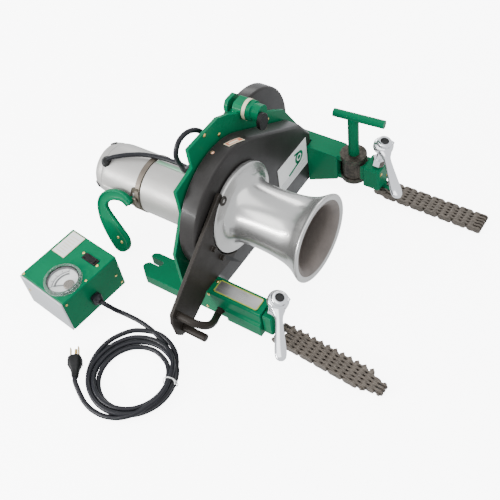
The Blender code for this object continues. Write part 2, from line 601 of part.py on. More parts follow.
def cord():
    place = box_frame()
    exit_at = place @ Vector((BOX_SIZE[0] / 2 - 5.5 + 22.0 + GAP, -3.0, -103.0))
    low = FLOOR + CORD_R + 0.6
    ahead = place.to_3x3() @ Vector((1.0, 0.0, 0.0))
    path = [exit_at, exit_at + ahead * 6.0, Vector((-144.5, -207.0, -109.0)), Vector((-138.5, -203.0, -119.0)),
            Vector((-132.0, -199.5, -126.0)), Vector((-124.0, -197.4, low + 0.3)), Vector((-113.0, -197.0, low)),
            Vector((-98.0, -197.0, low)), Vector((-81.0, -198.4, low)), Vector((-66.0, -201.0, low)),
            Vector((-56.0, -203.6, low))]
    part("cord_lead", tube(path, CORD_R, 3), "rubber")
    cx, cy = COIL_CENTRE
    inner, outer = COIL_R
    middle = (inner + outer) / 2
    half = (outer - inner) / 2
    floor_gap = FLOOR + 0.5
    section = []
    for i in range(14):
        a = math.tau * i / 14
        section.append((floor_gap + COIL_H / 2 + COIL_H / 2 * math.sin(a), middle + half * math.cos(a)))
    part("cord_coil", turned(section, (cx, cy, 0.0), (0, 0, 1), 48), "rubber")
    heading = Vector((-0.66, 0.75, 0.0)).normalized()
    tail = Vector((-114.4, -333.4, FLOOR + 12.5))
    turn = Matrix.Translation(tail) @ Vector((1, 0, 0)).rotation_difference(heading).to_matrix().to_4x4()
    grip = joined(turned([(0.0, 0.0), (0.0, 5.0), (16.0, 7.0), (16.0, 0.0)], (0, 0, 0), (1, 0, 0), 16),
                  block((14.0, -12.0, -11.5), (38.0, 12.0, 11.5), 4.0))
    blades = [block((36.0, s * 6.35 - 0.8, 1.0 - 3.2), (55.0, s * 6.35 + 0.8, 1.0 + 3.2)) for s in (-1, 1)]
    ground = rod((36.0, 0, -6.0), (58.0, 0, -6.0), 2.4, 10)
    part("mains_plug", moved(joined(grip, *blades, ground), turn), "rubber")
    tie_at = (cx + middle * math.cos(math.radians(20.0)), cy + middle * math.sin(math.radians(20.0)))
    tie = prism([[(FLOOR + COIL_H + 3.2, 0.0 - half - 2), (FLOOR + COIL_H + 3.2, half + 2), (FLOOR + 0.2, half + 2),
                  (FLOOR + 0.2, half + 0.6), (FLOOR + COIL_H + 1.6, half + 0.6),
                  (FLOOR + COIL_H + 1.6, -half - 0.6), (FLOOR + 0.2, -half - 0.6), (FLOOR + 0.2, -half - 2)]],
                -2.5, 2.5, "Y")
    turn = Matrix.Translation((*tie_at, 0.0)) @ Matrix.Rotation(math.radians(20.0), 4, "Z")
    part("cord_tie", moved(tie, turn), "white")


def motor_cable():
    y, z = MOTOR
    r = MOTOR_R + 4.2

    def over(x, turn):
        a = math.radians(turn)
        return (x, y + r * math.sin(a), z + r * math.cos(a))

    path = [over(-266.0, -28.0), over(-258.0, -20.5), over(-247.0, -13.3), over(-238.0, -7.2), over(-228.0, -1.3),
            over(-219.0, 4.2), over(-209.0, 9.0), over(-198.0, 13.0), over(-186.0, 16.5), over(-172.0, 19.5),
            over(-158.0, 21.0), over(-142.0, 21.5), over(-126.0, 20.5), over(-110.0, 18.5)]
    lifted = [(x, py, pz + 2.2) for x, py, pz in path]
    last = lifted[-1]
    rise = [(-105.0, last[1] - 3.0, last[2] + 9.0), (-101.0, last[1] - 10.0, last[2] + 24.0),
            (-92.0, last[1] - 26.0, last[2] + 42.0), (-82.0, -26.0, 70.0), (-74.0, -38.0, 95.0),
            (-71.0, -46.0, 118.0), (-68.0, -47.0, 134.0), (-66.0, -38.0, 148.0), (-64.0, -24.0, 152.0),
            (-62.0, -10.0, 148.0), (-60.0, 2.0, 138.0), (-58.0, 10.0, 124.0), (-56.0, 14.0, 108.0),
            (-55.0, 14.0, 92.0)]
    part("motor_cable", tube([*lifted, *rise], CORD_R, 2), "rubber")


def labels():
    face = GUARD_X[1] + GAP
    part("guard_label", block((face, 114.0, -87.0), (face + 0.8, 206.0, -26.0)), "white")
    y0, y1 = RAIL_Y
    part("rail_plate", block((6.0, y0 + 5, RAIL_TOP + GAP), (88.0, y1 - 5, RAIL_TOP + 1.2)), "plate")
    lean = math.radians(15.0)
    reach = GUARD_R + GAP
    turn = (Matrix.Translation((-19.5, reach * math.sin(lean), reach * math.cos(lean)))
            @ Matrix.Rotation(-lean, 4, "X") @ Matrix.Rotation(-lean, 4, "Z"))
    part("guard_sticker", moved(block((-4.9, -15.0, 0.0), (4.9, 15.0, 0.7)), turn), "red")
    y, z = MOTOR
    a = math.radians(12.0)
    place = Matrix.Translation((-155.0, y + math.sin(a) * (MOTOR_R + 0.5), z + math.cos(a) * (MOTOR_R + 0.5)))
    turn = place @ Matrix.Rotation(-a, 4, "X")
    part("motor_plate", moved(block((-29.0, -4.0, 0.0), (29.0, 4.0, 0.8)), turn), "plate")


def small_parts():
    x = SLEEVE_END
    y, z = KNOB
    knob = prism([[(y + 12.0 * math.cos(math.tau * i / 20), z + 15.5 * math.sin(math.tau * i / 20))
                   for i in range(20)]], x + 2.0, x + 9.0)
    stem = rod((x + GAP, y, z), (x + 3.0, y, z), 3.0, 12)
    part("latch_knob", joined(knob, stem), "plastic", (x + 2.0, y, z))


def build():
    wipe()
    home = bpy.data.collections.new("cable_puller")
    bpy.context.scene.collection.children.link(home)
    PARTS["collection"] = home
    make_looks()
    frame_plate()
    near_rail()
    near_foot()
    far_arm()
    top_bracket()
    guards()
    bearings()
    capstan()
    jackshaft()
    rotor()
    drive_chains()
    motor()
    side_leg()
    rope_ramp()
    vises()
    far_head()
    vise_chain("near_chain", NEAR_CHAIN)
    vise_chain("far_chain", FAR_CHAIN)
    meter_box()
    cord()
    motor_cable()
    labels()
    small_parts()


build()
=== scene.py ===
"""Looks of a capstan cable puller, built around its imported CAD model.

Lengths are in millimetres about the drum's axis, as in the CAD source, until
piece() moves a mesh to the shared frame in metres.
"""
import math

import bmesh
import bpy
from mathutils import Matrix, Vector


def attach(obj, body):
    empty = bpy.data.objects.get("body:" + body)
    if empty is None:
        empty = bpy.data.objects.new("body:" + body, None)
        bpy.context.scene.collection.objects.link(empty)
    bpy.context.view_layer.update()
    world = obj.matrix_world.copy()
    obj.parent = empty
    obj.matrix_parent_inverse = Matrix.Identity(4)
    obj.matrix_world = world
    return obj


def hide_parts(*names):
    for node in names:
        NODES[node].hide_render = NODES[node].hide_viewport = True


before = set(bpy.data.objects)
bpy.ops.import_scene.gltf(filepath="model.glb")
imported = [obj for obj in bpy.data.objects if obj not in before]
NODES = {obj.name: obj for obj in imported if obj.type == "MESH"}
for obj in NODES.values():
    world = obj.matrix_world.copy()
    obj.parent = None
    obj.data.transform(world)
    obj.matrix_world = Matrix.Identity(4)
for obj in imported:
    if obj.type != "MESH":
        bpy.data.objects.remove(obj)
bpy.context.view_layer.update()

MM = 0.001
SHIFT = Vector((-6.576, 1.207, 134.0))
FLOOR = -134.0
MOTOR = (7.0, -43.0)
MOTOR_R = 50.0
JACK = (148.0, -22.0)
BARREL = (98.0, 112.0)
RAIL_PLATE_Y = (-115.0, -91.0)
LEG_PIVOT = (-205.0, -53.7, -36.8)


def W(x, y, z):
    """A point about the drum's axis, in millimetres, as a point of the shared frame."""
    return (Vector((x, y, z)) + SHIFT) * MM


# ---------------------------------------------------------------- camera

def make_camera():
    right = Vector((0.8329, 0.5412, -0.1159))
    up = Vector((-0.3599, 0.6888, 0.6293))
    back = Vector((0.4204, -0.4825, 0.7684))
    cam = bpy.data.objects.new("camera", bpy.data.cameras.new("camera"))
    bpy.context.scene.collection.objects.link(cam)
    cam.data.lens = 57.6
    cam.data.sensor_width = 36.0
    cam.data.clip_start = 0.05
    cam.data.clip_end = 20.0
    turn = Matrix((right, up, back)).transposed().to_4x4()
    cam.matrix_world = Matrix.Translation(W(564.6, -650.5, 928.7)) @ turn
    bpy.context.scene.camera = cam


def make_light(name, at, target, size, power, colour=(1.0, 1.0, 1.0)):
    data = bpy.data.lights.new(name, "AREA")
    data.shape = "RECTANGLE"
    data.size, data.size_y = size
    data.energy = power
    data.color = colour
    ob = bpy.data.objects.new(name, data)
    bpy.context.scene.collection.objects.link(ob)
    ob.location = at
    ob.rotation_euler = (Vector(target) - Vector(at)).to_track_quat("-Z", "Y").to_euler()


def make_studio():
    world = bpy.data.worlds.new("studio")
    world.use_nodes = True
    back = world.node_tree.nodes["Background"]
    back.inputs["Color"].default_value = (0.94, 0.97, 1.0, 1.0)
    back.inputs["Strength"].default_value = 1.35
    bpy.context.scene.world = world
    make_light("top", (0.1, -0.1, 1.9), (0.0, 0.0, 0.1), (1.6, 1.6), 18.0)
    make_light("key", (-1.1, -1.3, 1.5), (0.0, 0.0, 0.1), (0.9, 0.9), 12.0)
    make_light("strip", (-1.05, -1.55, 0.62), (0.05, 0.0, 0.12), (1.5, 0.10), 42.0)
    make_light("rim", (-0.9, 1.4, 0.9), (0.0, 0.0, 0.15), (0.8, 0.5), 8.0)
    bm = bmesh.new()
    bmesh.ops.create_grid(bm, x_segments=2, y_segments=2, size=40.0)
    floor = bpy.data.objects.new("floor", bpy.data.meshes.new("floor"))
    bm.to_mesh(floor.data)
    bpy.context.scene.collection.objects.link(floor)
    floor.location.z = -0.0005
    white = look("floor_white", (0.90, 0.90, 0.90), 0.85, vary=0.01, bump=0.0)
    shader = white.node_tree.nodes["Principled BSDF"]
    shader.inputs["Emission Color"].default_value = (1.0, 1.0, 1.0, 1.0)
    shader.inputs["Emission Strength"].default_value = 7.0
    floor.data.materials.append(white)
    floor.visible_diffuse = False
    floor.visible_glossy = False


# ---------------------------------------------------------------- materials

class Graph:
    """A short way to write a material's nodes."""

    def __init__(self, name):
        self.mat = bpy.data.materials.new(name)
        self.mat.use_nodes = True
        self.tree = self.mat.node_tree
        self.shader = self.tree.nodes["Principled BSDF"]
        self.coords = self.tree.nodes.new("ShaderNodeTexCoord").outputs["Object"]

    def link(self, value, socket):
        if isinstance(value, bpy.types.NodeSocket):
            self.tree.links.new(value, socket)
        else:
            socket.default_value = value

    def mapped(self, scale):
        node = self.tree.nodes.new("ShaderNodeMapping")
        self.link(self.coords, node.inputs["Vector"])
        node.inputs["Scale"].default_value = (scale,) * 3 if isinstance(scale, (int, float)) else scale
        return node.outputs["Vector"]

    def noise(self, scale, detail=3.0, rough=0.5):
        node = self.tree.nodes.new("ShaderNodeTexNoise")
        self.link(self.mapped(scale), node.inputs["Vector"])
        node.inputs["Scale"].default_value = 1.0
        node.inputs["Detail"].default_value = detail
        node.inputs["Roughness"].default_value = rough
        return node.outputs["Fac"]

    def math(self, kind, a, b=0.0):
        node = self.tree.nodes.new("ShaderNodeMath")
        node.operation = kind
        self.link(a, node.inputs[0])
        self.link(b, node.inputs[1])
        return node.outputs[0]

    def span(self, value, low, high, to_low=0.0, to_high=1.0):
        node = self.tree.nodes.new("ShaderNodeMapRange")
        self.link(value, node.inputs["Value"])
        for key, number in (("From Min", low), ("From Max", high), ("To Min", to_low), ("To Max", to_high)):
            node.inputs[key].default_value = number
        return node.outputs["Result"]

    def mix(self, share, a, b):
        node = self.tree.nodes.new("ShaderNodeMix")
        node.data_type = "RGBA"
        self.link(share, node.inputs[0])
        self.link((*a, 1.0) if isinstance(a, tuple) else a, node.inputs[6])
        self.link((*b, 1.0) if isinstance(b, tuple) else b, node.inputs[7])
        return node.outputs[2]

    def bump(self, height, strength, distance):
        node = self.tree.nodes.new("ShaderNodeBump")
        node.inputs["Strength"].default_value = strength
        node.inputs["Distance"].default_value = distance
        self.link(height, node.inputs["Height"])
        self.link(node.outputs["Normal"], self.shader.inputs["Normal"])

    def edges(self, radius):
        """About 1 on convex and concave edges, 0 on flat stretches; the looks lay painted edge highlights
        with it.
        """
        bevel = self.tree.nodes.new("ShaderNodeBevel")
        bevel.samples = 4
        bevel.inputs["Radius"].default_value = radius
        flat = self.tree.nodes.new("ShaderNodeNewGeometry")
        dot = self.tree.nodes.new("ShaderNodeVectorMath")
        dot.operation = "DOT_PRODUCT"
        self.tree.links.new(bevel.outputs["Normal"], dot.inputs[0])
        self.tree.links.new(flat.outputs["Normal"], dot.inputs[1])
        return self.span(dot.outputs["Value"], 0.995, 0.90)

    def axis(self, index):
        node = self.tree.nodes.new("ShaderNodeSeparateXYZ")
        self.tree.links.new(self.coords, node.inputs[0])
        return node.outputs[index]

    def set(self, **values):
        for key, value in values.items():
            self.link(value, self.shader.inputs[key.replace("_", " ")])
        return self.mat


def shade(colour, share):
    return tuple(min(1.0, c * share) for c in colour)


def painted(g, colour, vary, scale):
    """A colour with slow and fine brightness changes."""
    slow = g.noise(scale, 2.0)
    fine = g.noise(scale * 9.0, 3.0, 0.6)
    both = g.math("ADD", g.math("MULTIPLY", slow, 0.7), g.math("MULTIPLY", fine, 0.3))
    return g.mix(g.span(both, 0.32, 0.68), shade(colour, 1.0 - vary), shade(colour, 1.0 + vary))


def look(name, colour, rough, metal=0.0, vary=0.06, scale=40.0, bump=0.15, grain=900.0, coat=0.0, edge=None,
         smear=0.06, shine=0.5):
    g = Graph(name)
    base = painted(g, colour, vary, scale)
    # painted highlight: edge, when given, is a lighter colour laid along convex and concave edges
    if edge:
        base = g.mix(g.math("MULTIPLY", g.edges(0.0012), 0.7), base, edge)
    smudge = g.span(g.noise(scale * 1.7, 4.0, 0.65), 0.3, 0.7, max(0.02, rough - smear), rough + smear)
    if bump:
        g.bump(g.noise(grain, 2.0), bump, 0.0002)
    return g.set(Base_Color=base, Roughness=smudge, Metallic=metal, Coat_Weight=coat, Coat_Roughness=0.12,
                 Specular_IOR_Level=shine)


def brushed(name, colour, rough, scale, vary=0.10, bump=0.12, metal=1.0, smear=0.06, coat=0.0):
    """Metal with fine lines; scale stretches the grain along one axis."""
    g = Graph(name)
    lines = g.noise(scale, 4.0, 0.7)
    cloud = g.noise(22.0, 3.0)
    both = g.math("ADD", g.math("MULTIPLY", lines, 0.55), g.math("MULTIPLY", cloud, 0.45))
    base = g.mix(g.span(both, 0.35, 0.65), shade(colour, 1.0 - vary), shade(colour, 1.0 + vary))
    g.bump(lines, bump, 0.0001)
    return g.set(Base_Color=base, Roughness=g.span(both, 0.3, 0.7, rough - smear, rough + smear),
                 Metallic=metal, Coat_Weight=coat, Coat_Roughness=0.05)


GREEN = (0.0, 0.128, 0.054)
# painted highlight: the lighter teal that enamel() lays along the green paint's edges
EDGE_HIGHLIGHT_TEAL = (0.0, 0.19, 0.12)
BLACK = (0.022, 0.020, 0.019)
DARK_STEEL = (0.026, 0.025, 0.021)
LOOKS = {}


def enamel(name, worn=None):
    """Gloss green paint with a painted highlight of lighter teal along its edges; worn is a list of (x, y,
    radius) upright axes where bare dark steel shows.
    """
    g = Graph(name)
    base = painted(g, GREEN, 0.10, 18.0)
    # painted highlight: lighter teal along convex and concave edges
    base = g.mix(g.math("MULTIPLY", g.edges(0.0014), 0.55), base, EDGE_HIGHLIGHT_TEAL)
    rough = g.span(g.noise(35.0, 4.0, 0.65), 0.3, 0.7, 0.24, 0.38)
    metal = 0.0
    for x, y, radius in worn or []:
        at = W(x, y, 0.0)
        dx = g.math("SUBTRACT", g.axis(0), at.x)
        dy = g.math("SUBTRACT", g.axis(1), at.y)
        away = g.math("SQRT", g.math("ADD", g.math("MULTIPLY", dx, dx), g.math("MULTIPLY", dy, dy)))
        ragged = g.math("ADD", away, g.math("MULTIPLY", g.noise(240.0, 5.0, 0.7), 0.006))
        bare = g.span(ragged, radius * MM + 0.0042, radius * MM + 0.0026)
        steel = g.mix(g.span(g.noise(160.0, 4.0, 0.7), 0.35, 0.65), DARK_STEEL, (0.085, 0.072, 0.060))
        base = g.mix(bare, base, steel)
        rough = g.span(bare, 0.0, 1.0, 0.32, 0.46)
        metal = g.math("MULTIPLY", bare, 0.55)
    g.bump(g.noise(420.0, 2.0), 0.10, 0.0003)
    return g.set(Base_Color=base, Roughness=rough, Metallic=metal, Coat_Weight=0.03, Coat_Roughness=0.10,
                 Specular_IOR_Level=0.06)


def make_looks():
    pin = (72.0, 230.0, 23.5)
    LOOKS.update(
        green=enamel("green_enamel"),
        worn=enamel("worn_green_enamel", [pin]),
        # the edge colours given below are painted highlights along edges
        black=look("black_paint", BLACK, 0.36, vary=0.14, scale=25.0, bump=0.12, coat=0.05, shine=0.18,
                   edge=(0.10, 0.095, 0.09)),
        dark=look("dark_paint", (0.020, 0.016, 0.013), 0.46, vary=0.12, scale=25.0, shine=0.16,
                  edge=(0.15, 0.14, 0.13)),
        drum=brushed("satin_drum", (0.50, 0.49, 0.475), 0.25, (1500.0, 9.0, 9.0), vary=0.03, bump=0.02,
                     metal=0.86, smear=0.02, coat=0.35),
        bore=look("dull_cast_bore", (0.165, 0.140, 0.125), 0.55, metal=0.35, vary=0.12, scale=45.0,
                  bump=0.35),
        steel=brushed("machined_steel", (0.40, 0.385, 0.37), 0.34, (900.0, 60.0, 60.0)),
        chrome=look("chrome_tool", (0.82, 0.82, 0.84), 0.13, metal=1.0, vary=0.03, bump=0.04, smear=0.05),
        cast=look("motor_casting", (0.44, 0.425, 0.405), 0.40, metal=0.45, vary=0.05, scale=30.0, bump=0.30,
                  grain=1400.0),
        band=look("motor_joint", (0.150, 0.125, 0.100), 0.45, metal=0.6, vary=0.15, scale=60.0, bump=0.3),
        chain=look("oiled_chain", (0.088, 0.072, 0.058), 0.50, metal=0.40, vary=0.38, scale=160.0, bump=0.5,
                   grain=1500.0, edge=(0.27, 0.235, 0.20)),
        rubber=look("cord_jacket", (0.009, 0.009, 0.012), 0.36, vary=0.10, scale=50.0, bump=0.10, grain=700.0,
                    shine=0.25),
        plastic=look("black_plastic", (0.006, 0.006, 0.006), 0.42, shine=0.22, vary=0.10, scale=60.0,
                     bump=0.25, grain=1600.0),
        white=look("white_film", (0.78, 0.78, 0.76), 0.38, vary=0.03, scale=50.0, bump=0.04),
        cream=look("cream_film", (0.70, 0.62, 0.44), 0.42, vary=0.04, scale=50.0, bump=0.04),
        grey=look("grey_film", (0.42, 0.42, 0.43), 0.38, vary=0.06, scale=80.0, bump=0.04),
        brass=look("brass_screw", (0.74, 0.53, 0.20), 0.26, metal=1.0, vary=0.10, scale=300.0, bump=0.2),
        plate=brushed("brushed_plate", (0.50, 0.50, 0.49), 0.30, (24.0, 1600.0, 24.0), vary=0.16),
        lime=look("lime_line", (0.38, 0.42, 0.06), 0.40, vary=0.05, scale=60.0, bump=0.04),
        copper=look("copper_screw", (0.66, 0.36, 0.24), 0.30, metal=0.8, vary=0.10, scale=300.0, bump=0.2),
        silver=brushed("silver_sheet", (0.62, 0.63, 0.64), 0.42, (30.0, 30.0, 1200.0), vary=0.06, metal=0.75),
        red=look("red_film", (0.50, 0.12, 0.045), 0.40, vary=0.08, scale=90.0, bump=0.04),
        mint=look("mint_plate", (0.30, 0.56, 0.38), 0.38, metal=0.3, vary=0.05, scale=80.0, bump=0.05),
        ink=look("dial_ink", (0.015, 0.015, 0.017), 0.5, vary=0.05, bump=0.0),
        # painted shade: a flat black for slots, vents, caps and sockets that stands for their shade
        soot=look("shadow_black", (0.006, 0.006, 0.006), 0.7, vary=0.05, bump=0.0),
        nickel=look("nickel_screw", (0.55, 0.54, 0.52), 0.28, metal=1.0, vary=0.08, scale=300.0, bump=0.15),
    )
    g = Graph("clear_acrylic")
    haze = g.mix(g.span(g.noise(80.0), 0.3, 0.7), (0.93, 0.96, 0.95), (0.98, 0.99, 0.98))
    LOOKS["clear"] = g.set(Base_Color=haze, Roughness=g.span(g.noise(120.0), 0.3, 0.7, 0.02, 0.08),
                           Transmission_Weight=0.92, IOR=1.45, Alpha=0.55)
    g = Graph("dial_window")
    haze = g.mix(g.span(g.noise(80.0), 0.3, 0.7), (0.95, 0.97, 0.97), (0.99, 0.99, 0.99))
    LOOKS["window"] = g.set(Base_Color=haze, Roughness=g.span(g.noise(120.0), 0.3, 0.7, 0.02, 0.06),
                            Specular_IOR_Level=0.4, Alpha=0.07)


# ---------------------------------------------------------------- mesh helpers

def arc(centre, radius, start, end, count):
    points = []
    for i in range(count):
        a = math.radians(start + (end - start) * i / (count - 1))
        points.append((centre[0] + radius * math.cos(a), centre[1] + radius * math.sin(a)))
    return points


def belt(centre_a, radius_a, centre_b, radius_b, count):
    dx, dy = centre_b[0] - centre_a[0], centre_b[1] - centre_a[1]
    heading = math.degrees(math.atan2(dy, dx))
    lean = math.degrees(math.acos((radius_a - radius_b) / math.hypot(dx, dy)))
    first = arc(centre_a, radius_a, heading + lean, heading + 360.0 - lean, count)
    return first + arc(centre_b, radius_b, heading - lean, heading + lean, max(6, count // 2))


def smooth_path(points, steps=6, closed=False):
    """Points on a Catmull-Rom curve through the given ones."""
    pts = [Vector(p) for p in points]
    n = len(pts)
    out = []
    for i in range(n if closed else n - 1):
        a, b, c, d = (pts[j % n] if closed else pts[min(max(j, 0), n - 1)] for j in (i - 1, i, i + 1, i + 2))
        for k in range(steps):
            t = k / steps
            out.append(0.5 * (2 * b + (c - a) * t + (2 * a - 5 * b + 4 * c - d) * t * t
                              + (3 * b - a - 3 * c + d) * t ** 3))
    if not closed:
        out.append(pts[-1])
    return out


def prism(bm, base, cap):
    """The faces between two rings of points, the two ends first."""
    base, cap = [bm.verts.new(p) for p in base], [bm.verts.new(p) for p in cap]
    n = len(base)
    faces = [bm.faces.new(base[::-1]), bm.faces.new(cap)]
    return faces + [bm.faces.new((base[i], base[(i + 1) % n], cap[(i + 1) % n], cap[i])) for i in range(n)]


def extrude(bm, outline, low, high, axis="X", matrix=None):
    """A prism; the outline holds (y, z), (z, x) or (x, y) for axis X, Y or Z."""
    def at(p, h):
        v = {"X": (h, p[0], p[1]), "Y": (p[1], h, p[0]), "Z": (p[0], p[1], h)}[axis]
        return matrix @ Vector(v) if matrix else Vector(v)
    faces = prism(bm, [at(p, low) for p in outline], [at(p, high) for p in outline])
    bmesh.ops.recalc_face_normals(bm, faces=faces)


def lathe(bm, profile, origin=(0, 0, 0), axis=(1, 0, 0), steps=64):
    """Turns (height, radius) points about an axis."""
    turn = Vector((0, 0, 1)).rotation_difference(Vector(axis)).to_matrix()
    origin = Vector(origin)
    rows = []
    for h, r in profile:
        if r < 1e-6:
            rows.append([bm.verts.new(origin + turn @ Vector((0, 0, h)))])
        else:
            rows.append([bm.verts.new(origin + turn @ Vector((r * math.cos(math.tau * i / steps),
                                                             r * math.sin(math.tau * i / steps), h)))
                         for i in range(steps)])
    faces = []
    for a, b in zip(rows, rows[1:]):
        for i in range(steps):
            j = (i + 1) % steps
            if len(a) == 1 and len(b) == 1:
                continue
            if len(a) == 1:
                faces.append(bm.faces.new((a[0], b[j], b[i])))
            elif len(b) == 1:
                faces.append(bm.faces.new((a[i], a[j], b[0])))
            else:
                faces.append(bm.faces.new((a[i], a[j], b[j], b[i])))
    bmesh.ops.recalc_face_normals(bm, faces=faces)


def patch(bm, outline, centre, low, high):
    """A plate bent round an axis along X. The outline holds (x, angle from +Z towards +Y in degrees)."""
    def at(p, r):
        a = math.radians(p[1])
        return Vector((p[0], centre[0] + r * math.sin(a), centre[1] + r * math.cos(a)))
    faces = prism(bm, [at(p, low) for p in outline], [at(p, high) for p in outline])
    bmesh.ops.triangulate(bm, faces=faces[:2])
    bmesh.ops.recalc_face_normals(bm, faces=[f for f in bm.faces])


def bent_strip(bm, x, turn, centre, low, high, skew=0.0, steps=8):
    """A bent plate from turn[0] to turn[1]; x holds its two edges and skew slides them along the bend."""
    rows = []
    for k in range(steps + 1):
        t = k / steps
        a = math.radians(turn[0] + (turn[1] - turn[0]) * t)
        slide = skew * (t - 0.5)
        rows.append([bm.verts.new((px + slide, centre[0] + r * math.sin(a), centre[1] + r * math.cos(a)))
                     for px, r in ((x[0], low), (x[0], high), (x[1], high), (x[1], low))])
    faces = [bm.faces.new(rows[0]), bm.faces.new(rows[-1][::-1])]
    for a, b in zip(rows, rows[1:]):
        faces += [bm.faces.new((a[i], b[i], b[(i + 1) % 4], a[(i + 1) % 4])) for i in range(4)]
    bmesh.ops.recalc_face_normals(bm, faces=faces)


def rod(bm, start, end, radius, steps=20, chamfer=0.0):
    start, end = Vector(start), Vector(end)
    length = (end - start).length
    c = chamfer
    profile = [(0, 0), (0, radius - c), (c, radius), (length - c, radius), (length, radius - c), (length, 0)]
    if not c:
        profile = [(0, 0), (0, radius), (length, radius), (length, 0)]
    lathe(bm, profile, start, end - start, steps)


def block(bm, low, high, matrix=None):
    (x0, y0, z0), (x1, y1, z1) = low, high
    extrude(bm, [(x0, y0), (x1, y0), (x1, y1), (x0, y1)], z0, z1, "Z", matrix)


def sweep(bm, points, size, sides=16, wide=None, up=(0, 0, 1), power=2.0, dish=0.0):
    """A tube along points. size and wide are half-thicknesses, numbers or one for each point.

    dish hollows the face that looks along up, as a share of the thickness.
    """
    pts = [Vector(p) for p in points]
    n = len(pts)
    sizes = size if isinstance(size, (list, tuple)) else [size] * n
    wides = wide if isinstance(wide, (list, tuple)) else ([wide] * n if wide else sizes)
    rings = []
    side = None
    for i, p in enumerate(pts):
        ahead = (pts[min(i + 1, n - 1)] - pts[max(i - 1, 0)]).normalized()
        if side is None:
            side = ahead.cross(Vector(up)).normalized()
        side = (side - ahead * side.dot(ahead)).normalized()
        lift = side.cross(ahead)
        ring = []
        for k in range(sides):
            a = math.tau * k / sides
            c, s = math.cos(a), math.sin(a)
            c = math.copysign(abs(c) ** (2 / power), c)
            s = math.copysign(abs(s) ** (2 / power), s)
            hollow = dish * max(0.0, 1.0 - (c / 0.72) ** 4) if s > 0 else 0.0
            ring.append(bm.verts.new(p + side * (wides[i] * c) + lift * (sizes[i] * (s - hollow))))
        rings.append(ring)
    faces = [bm.faces.new(rings[0]), bm.faces.new(rings[-1][::-1])]
    for a, b in zip(rings, rings[1:]):
        faces += [bm.faces.new((a[k], b[k], b[(k + 1) % sides], a[(k + 1) % sides])) for k in range(sides)]
    bmesh.ops.recalc_face_normals(bm, faces=faces)


SPLIT = 35.0


def soften(ob, bevel):
    """Rounded edges and clean shading, as modifiers."""
    weld = ob.modifiers.new("weld", "WELD")
    weld.merge_threshold = 2e-6
    if bevel:
        flat = ob.modifiers.new("flat", "DECIMATE")
        flat.decimate_type = "DISSOLVE"
        flat.angle_limit = math.radians(0.6)
        edge = ob.modifiers.new("edge", "BEVEL")
        edge.width = bevel * MM
        edge.segments = 3
        edge.limit_method = "ANGLE"
        edge.angle_limit = math.radians(30.0)
        edge.miter_outer = "MITER_ARC"
        even = ob.modifiers.new("even", "WEIGHTED_NORMAL")
        even.weight = 60
    else:
        split = ob.modifiers.new("split", "EDGE_SPLIT")
        split.split_angle = math.radians(SPLIT)


def dress(names, kind, bevel=0.0):
    """A new look and rounded edges for CAD nodes whose shape stays."""
    for name in names:
        ob = NODES[name]
        ob.data.materials.clear()
        ob.data.materials.append(LOOKS[kind])
        custom = ob.data.attributes.get("custom_normal")
        if custom:
            ob.data.attributes.remove(custom)
        ob.data.polygons.foreach_set("use_smooth", [True] * len(ob.data.polygons))
        soften(ob, bevel)


def piece(name, bm, kind, body="chassis", replaces=(), bevel=0.0, split=SPLIT):
    """Makes a mesh in millimetres into a piece of the object."""
    bmesh.ops.transform(bm, matrix=Matrix.Scale(MM, 4) @ Matrix.Translation(SHIFT), verts=bm.verts)
    mesh = bpy.data.meshes.new(name)
    bm.to_mesh(mesh)
    bm.free()
    ob = bpy.data.objects.new(name, mesh)
    bpy.context.scene.collection.objects.link(ob)
    mesh.materials.append(LOOKS[kind])
    mesh.polygons.foreach_set("use_smooth", [True] * len(mesh.polygons))
    if bevel:
        soften(ob, bevel)
    elif split:
        ob.modifiers.new("split", "EDGE_SPLIT").split_angle = math.radians(split)
    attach(ob, body)
    if replaces:
        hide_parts(*([replaces] if isinstance(replaces, str) else replaces))
    return ob


def screw(bm, at, normal, radius=2.6, height=1.3):
    """A domed screw head, added to bm."""
    n = Vector(normal).normalized()
    dome = [(0, radius), (height * 0.35, radius), (height * 0.8, radius * 0.72), (height, radius * 0.3)]
    lathe(bm, [(-0.6, radius), *dome, (height, 0.0)], Vector(at), n, 16)


# ---------------------------------------------------------------- mains cord

HOLE = (-36.0, -286.5)
CORD_R = 4.0
PLUG_TAIL = Vector((-114.4, -333.4, FLOOR + 12.5))
PLUG_WAY = Vector((-0.66, 0.75, 0.0)).normalized()
LOW, MID, HIGH = 4.6, 12.4, 20.2
# The coil as (turn in degrees, radius, height above the floor), clockwise from the lead's arrival.
TURNS = [
    (43.0, 68.6, LOW), (15.0, 65.6, LOW), (-30.0, 63.6, LOW), (-75.0, 63.0, LOW), (-120.0, 67.5, LOW),
    (-165.0, 76.5, LOW), (-205.0, 86.0, LOW), (-230.0, 89.5, LOW), (-262.0, 86.0, LOW), (-295.0, 75.5, LOW),
    (-322.0, 65.0, LOW), (-345.0, 56.5, LOW), (-390.0, 55.0, LOW), (-435.0, 55.0, LOW), (-525.0, 56.0, LOW),
    (-590.0, 57.0, LOW), (-650.0, 55.5, LOW + 1), (-690.0, 56.5, MID), (-705.0, 57.5, MID),
    (-750.0, 57.0, MID), (-795.0, 57.5, MID), (-850.0, 61.0, MID), (-895.0, 65.2, LOW), (-950.0, 66.4, LOW),
    (-1005.0, 65.5, LOW + 1), (-1045.0, 65.0, MID), (-1065.0, 65.8, MID), (-1110.0, 65.2, MID),
    (-1155.0, 65.5, MID), (-1210.0, 68.5, MID), (-1255.0, 74.2, LOW), (-1310.0, 76.0, LOW),
    (-1365.0, 70.0, LOW + 2), (-1400.0, 64.0, HIGH - 2), (-1425.0, 61.5, HIGH), (-1470.0, 64.0, HIGH - 2),
    (-1515.0, 71.5, LOW + 3), (-1545.0, 78.0, LOW), (-1568.0, 84.0, LOW)]
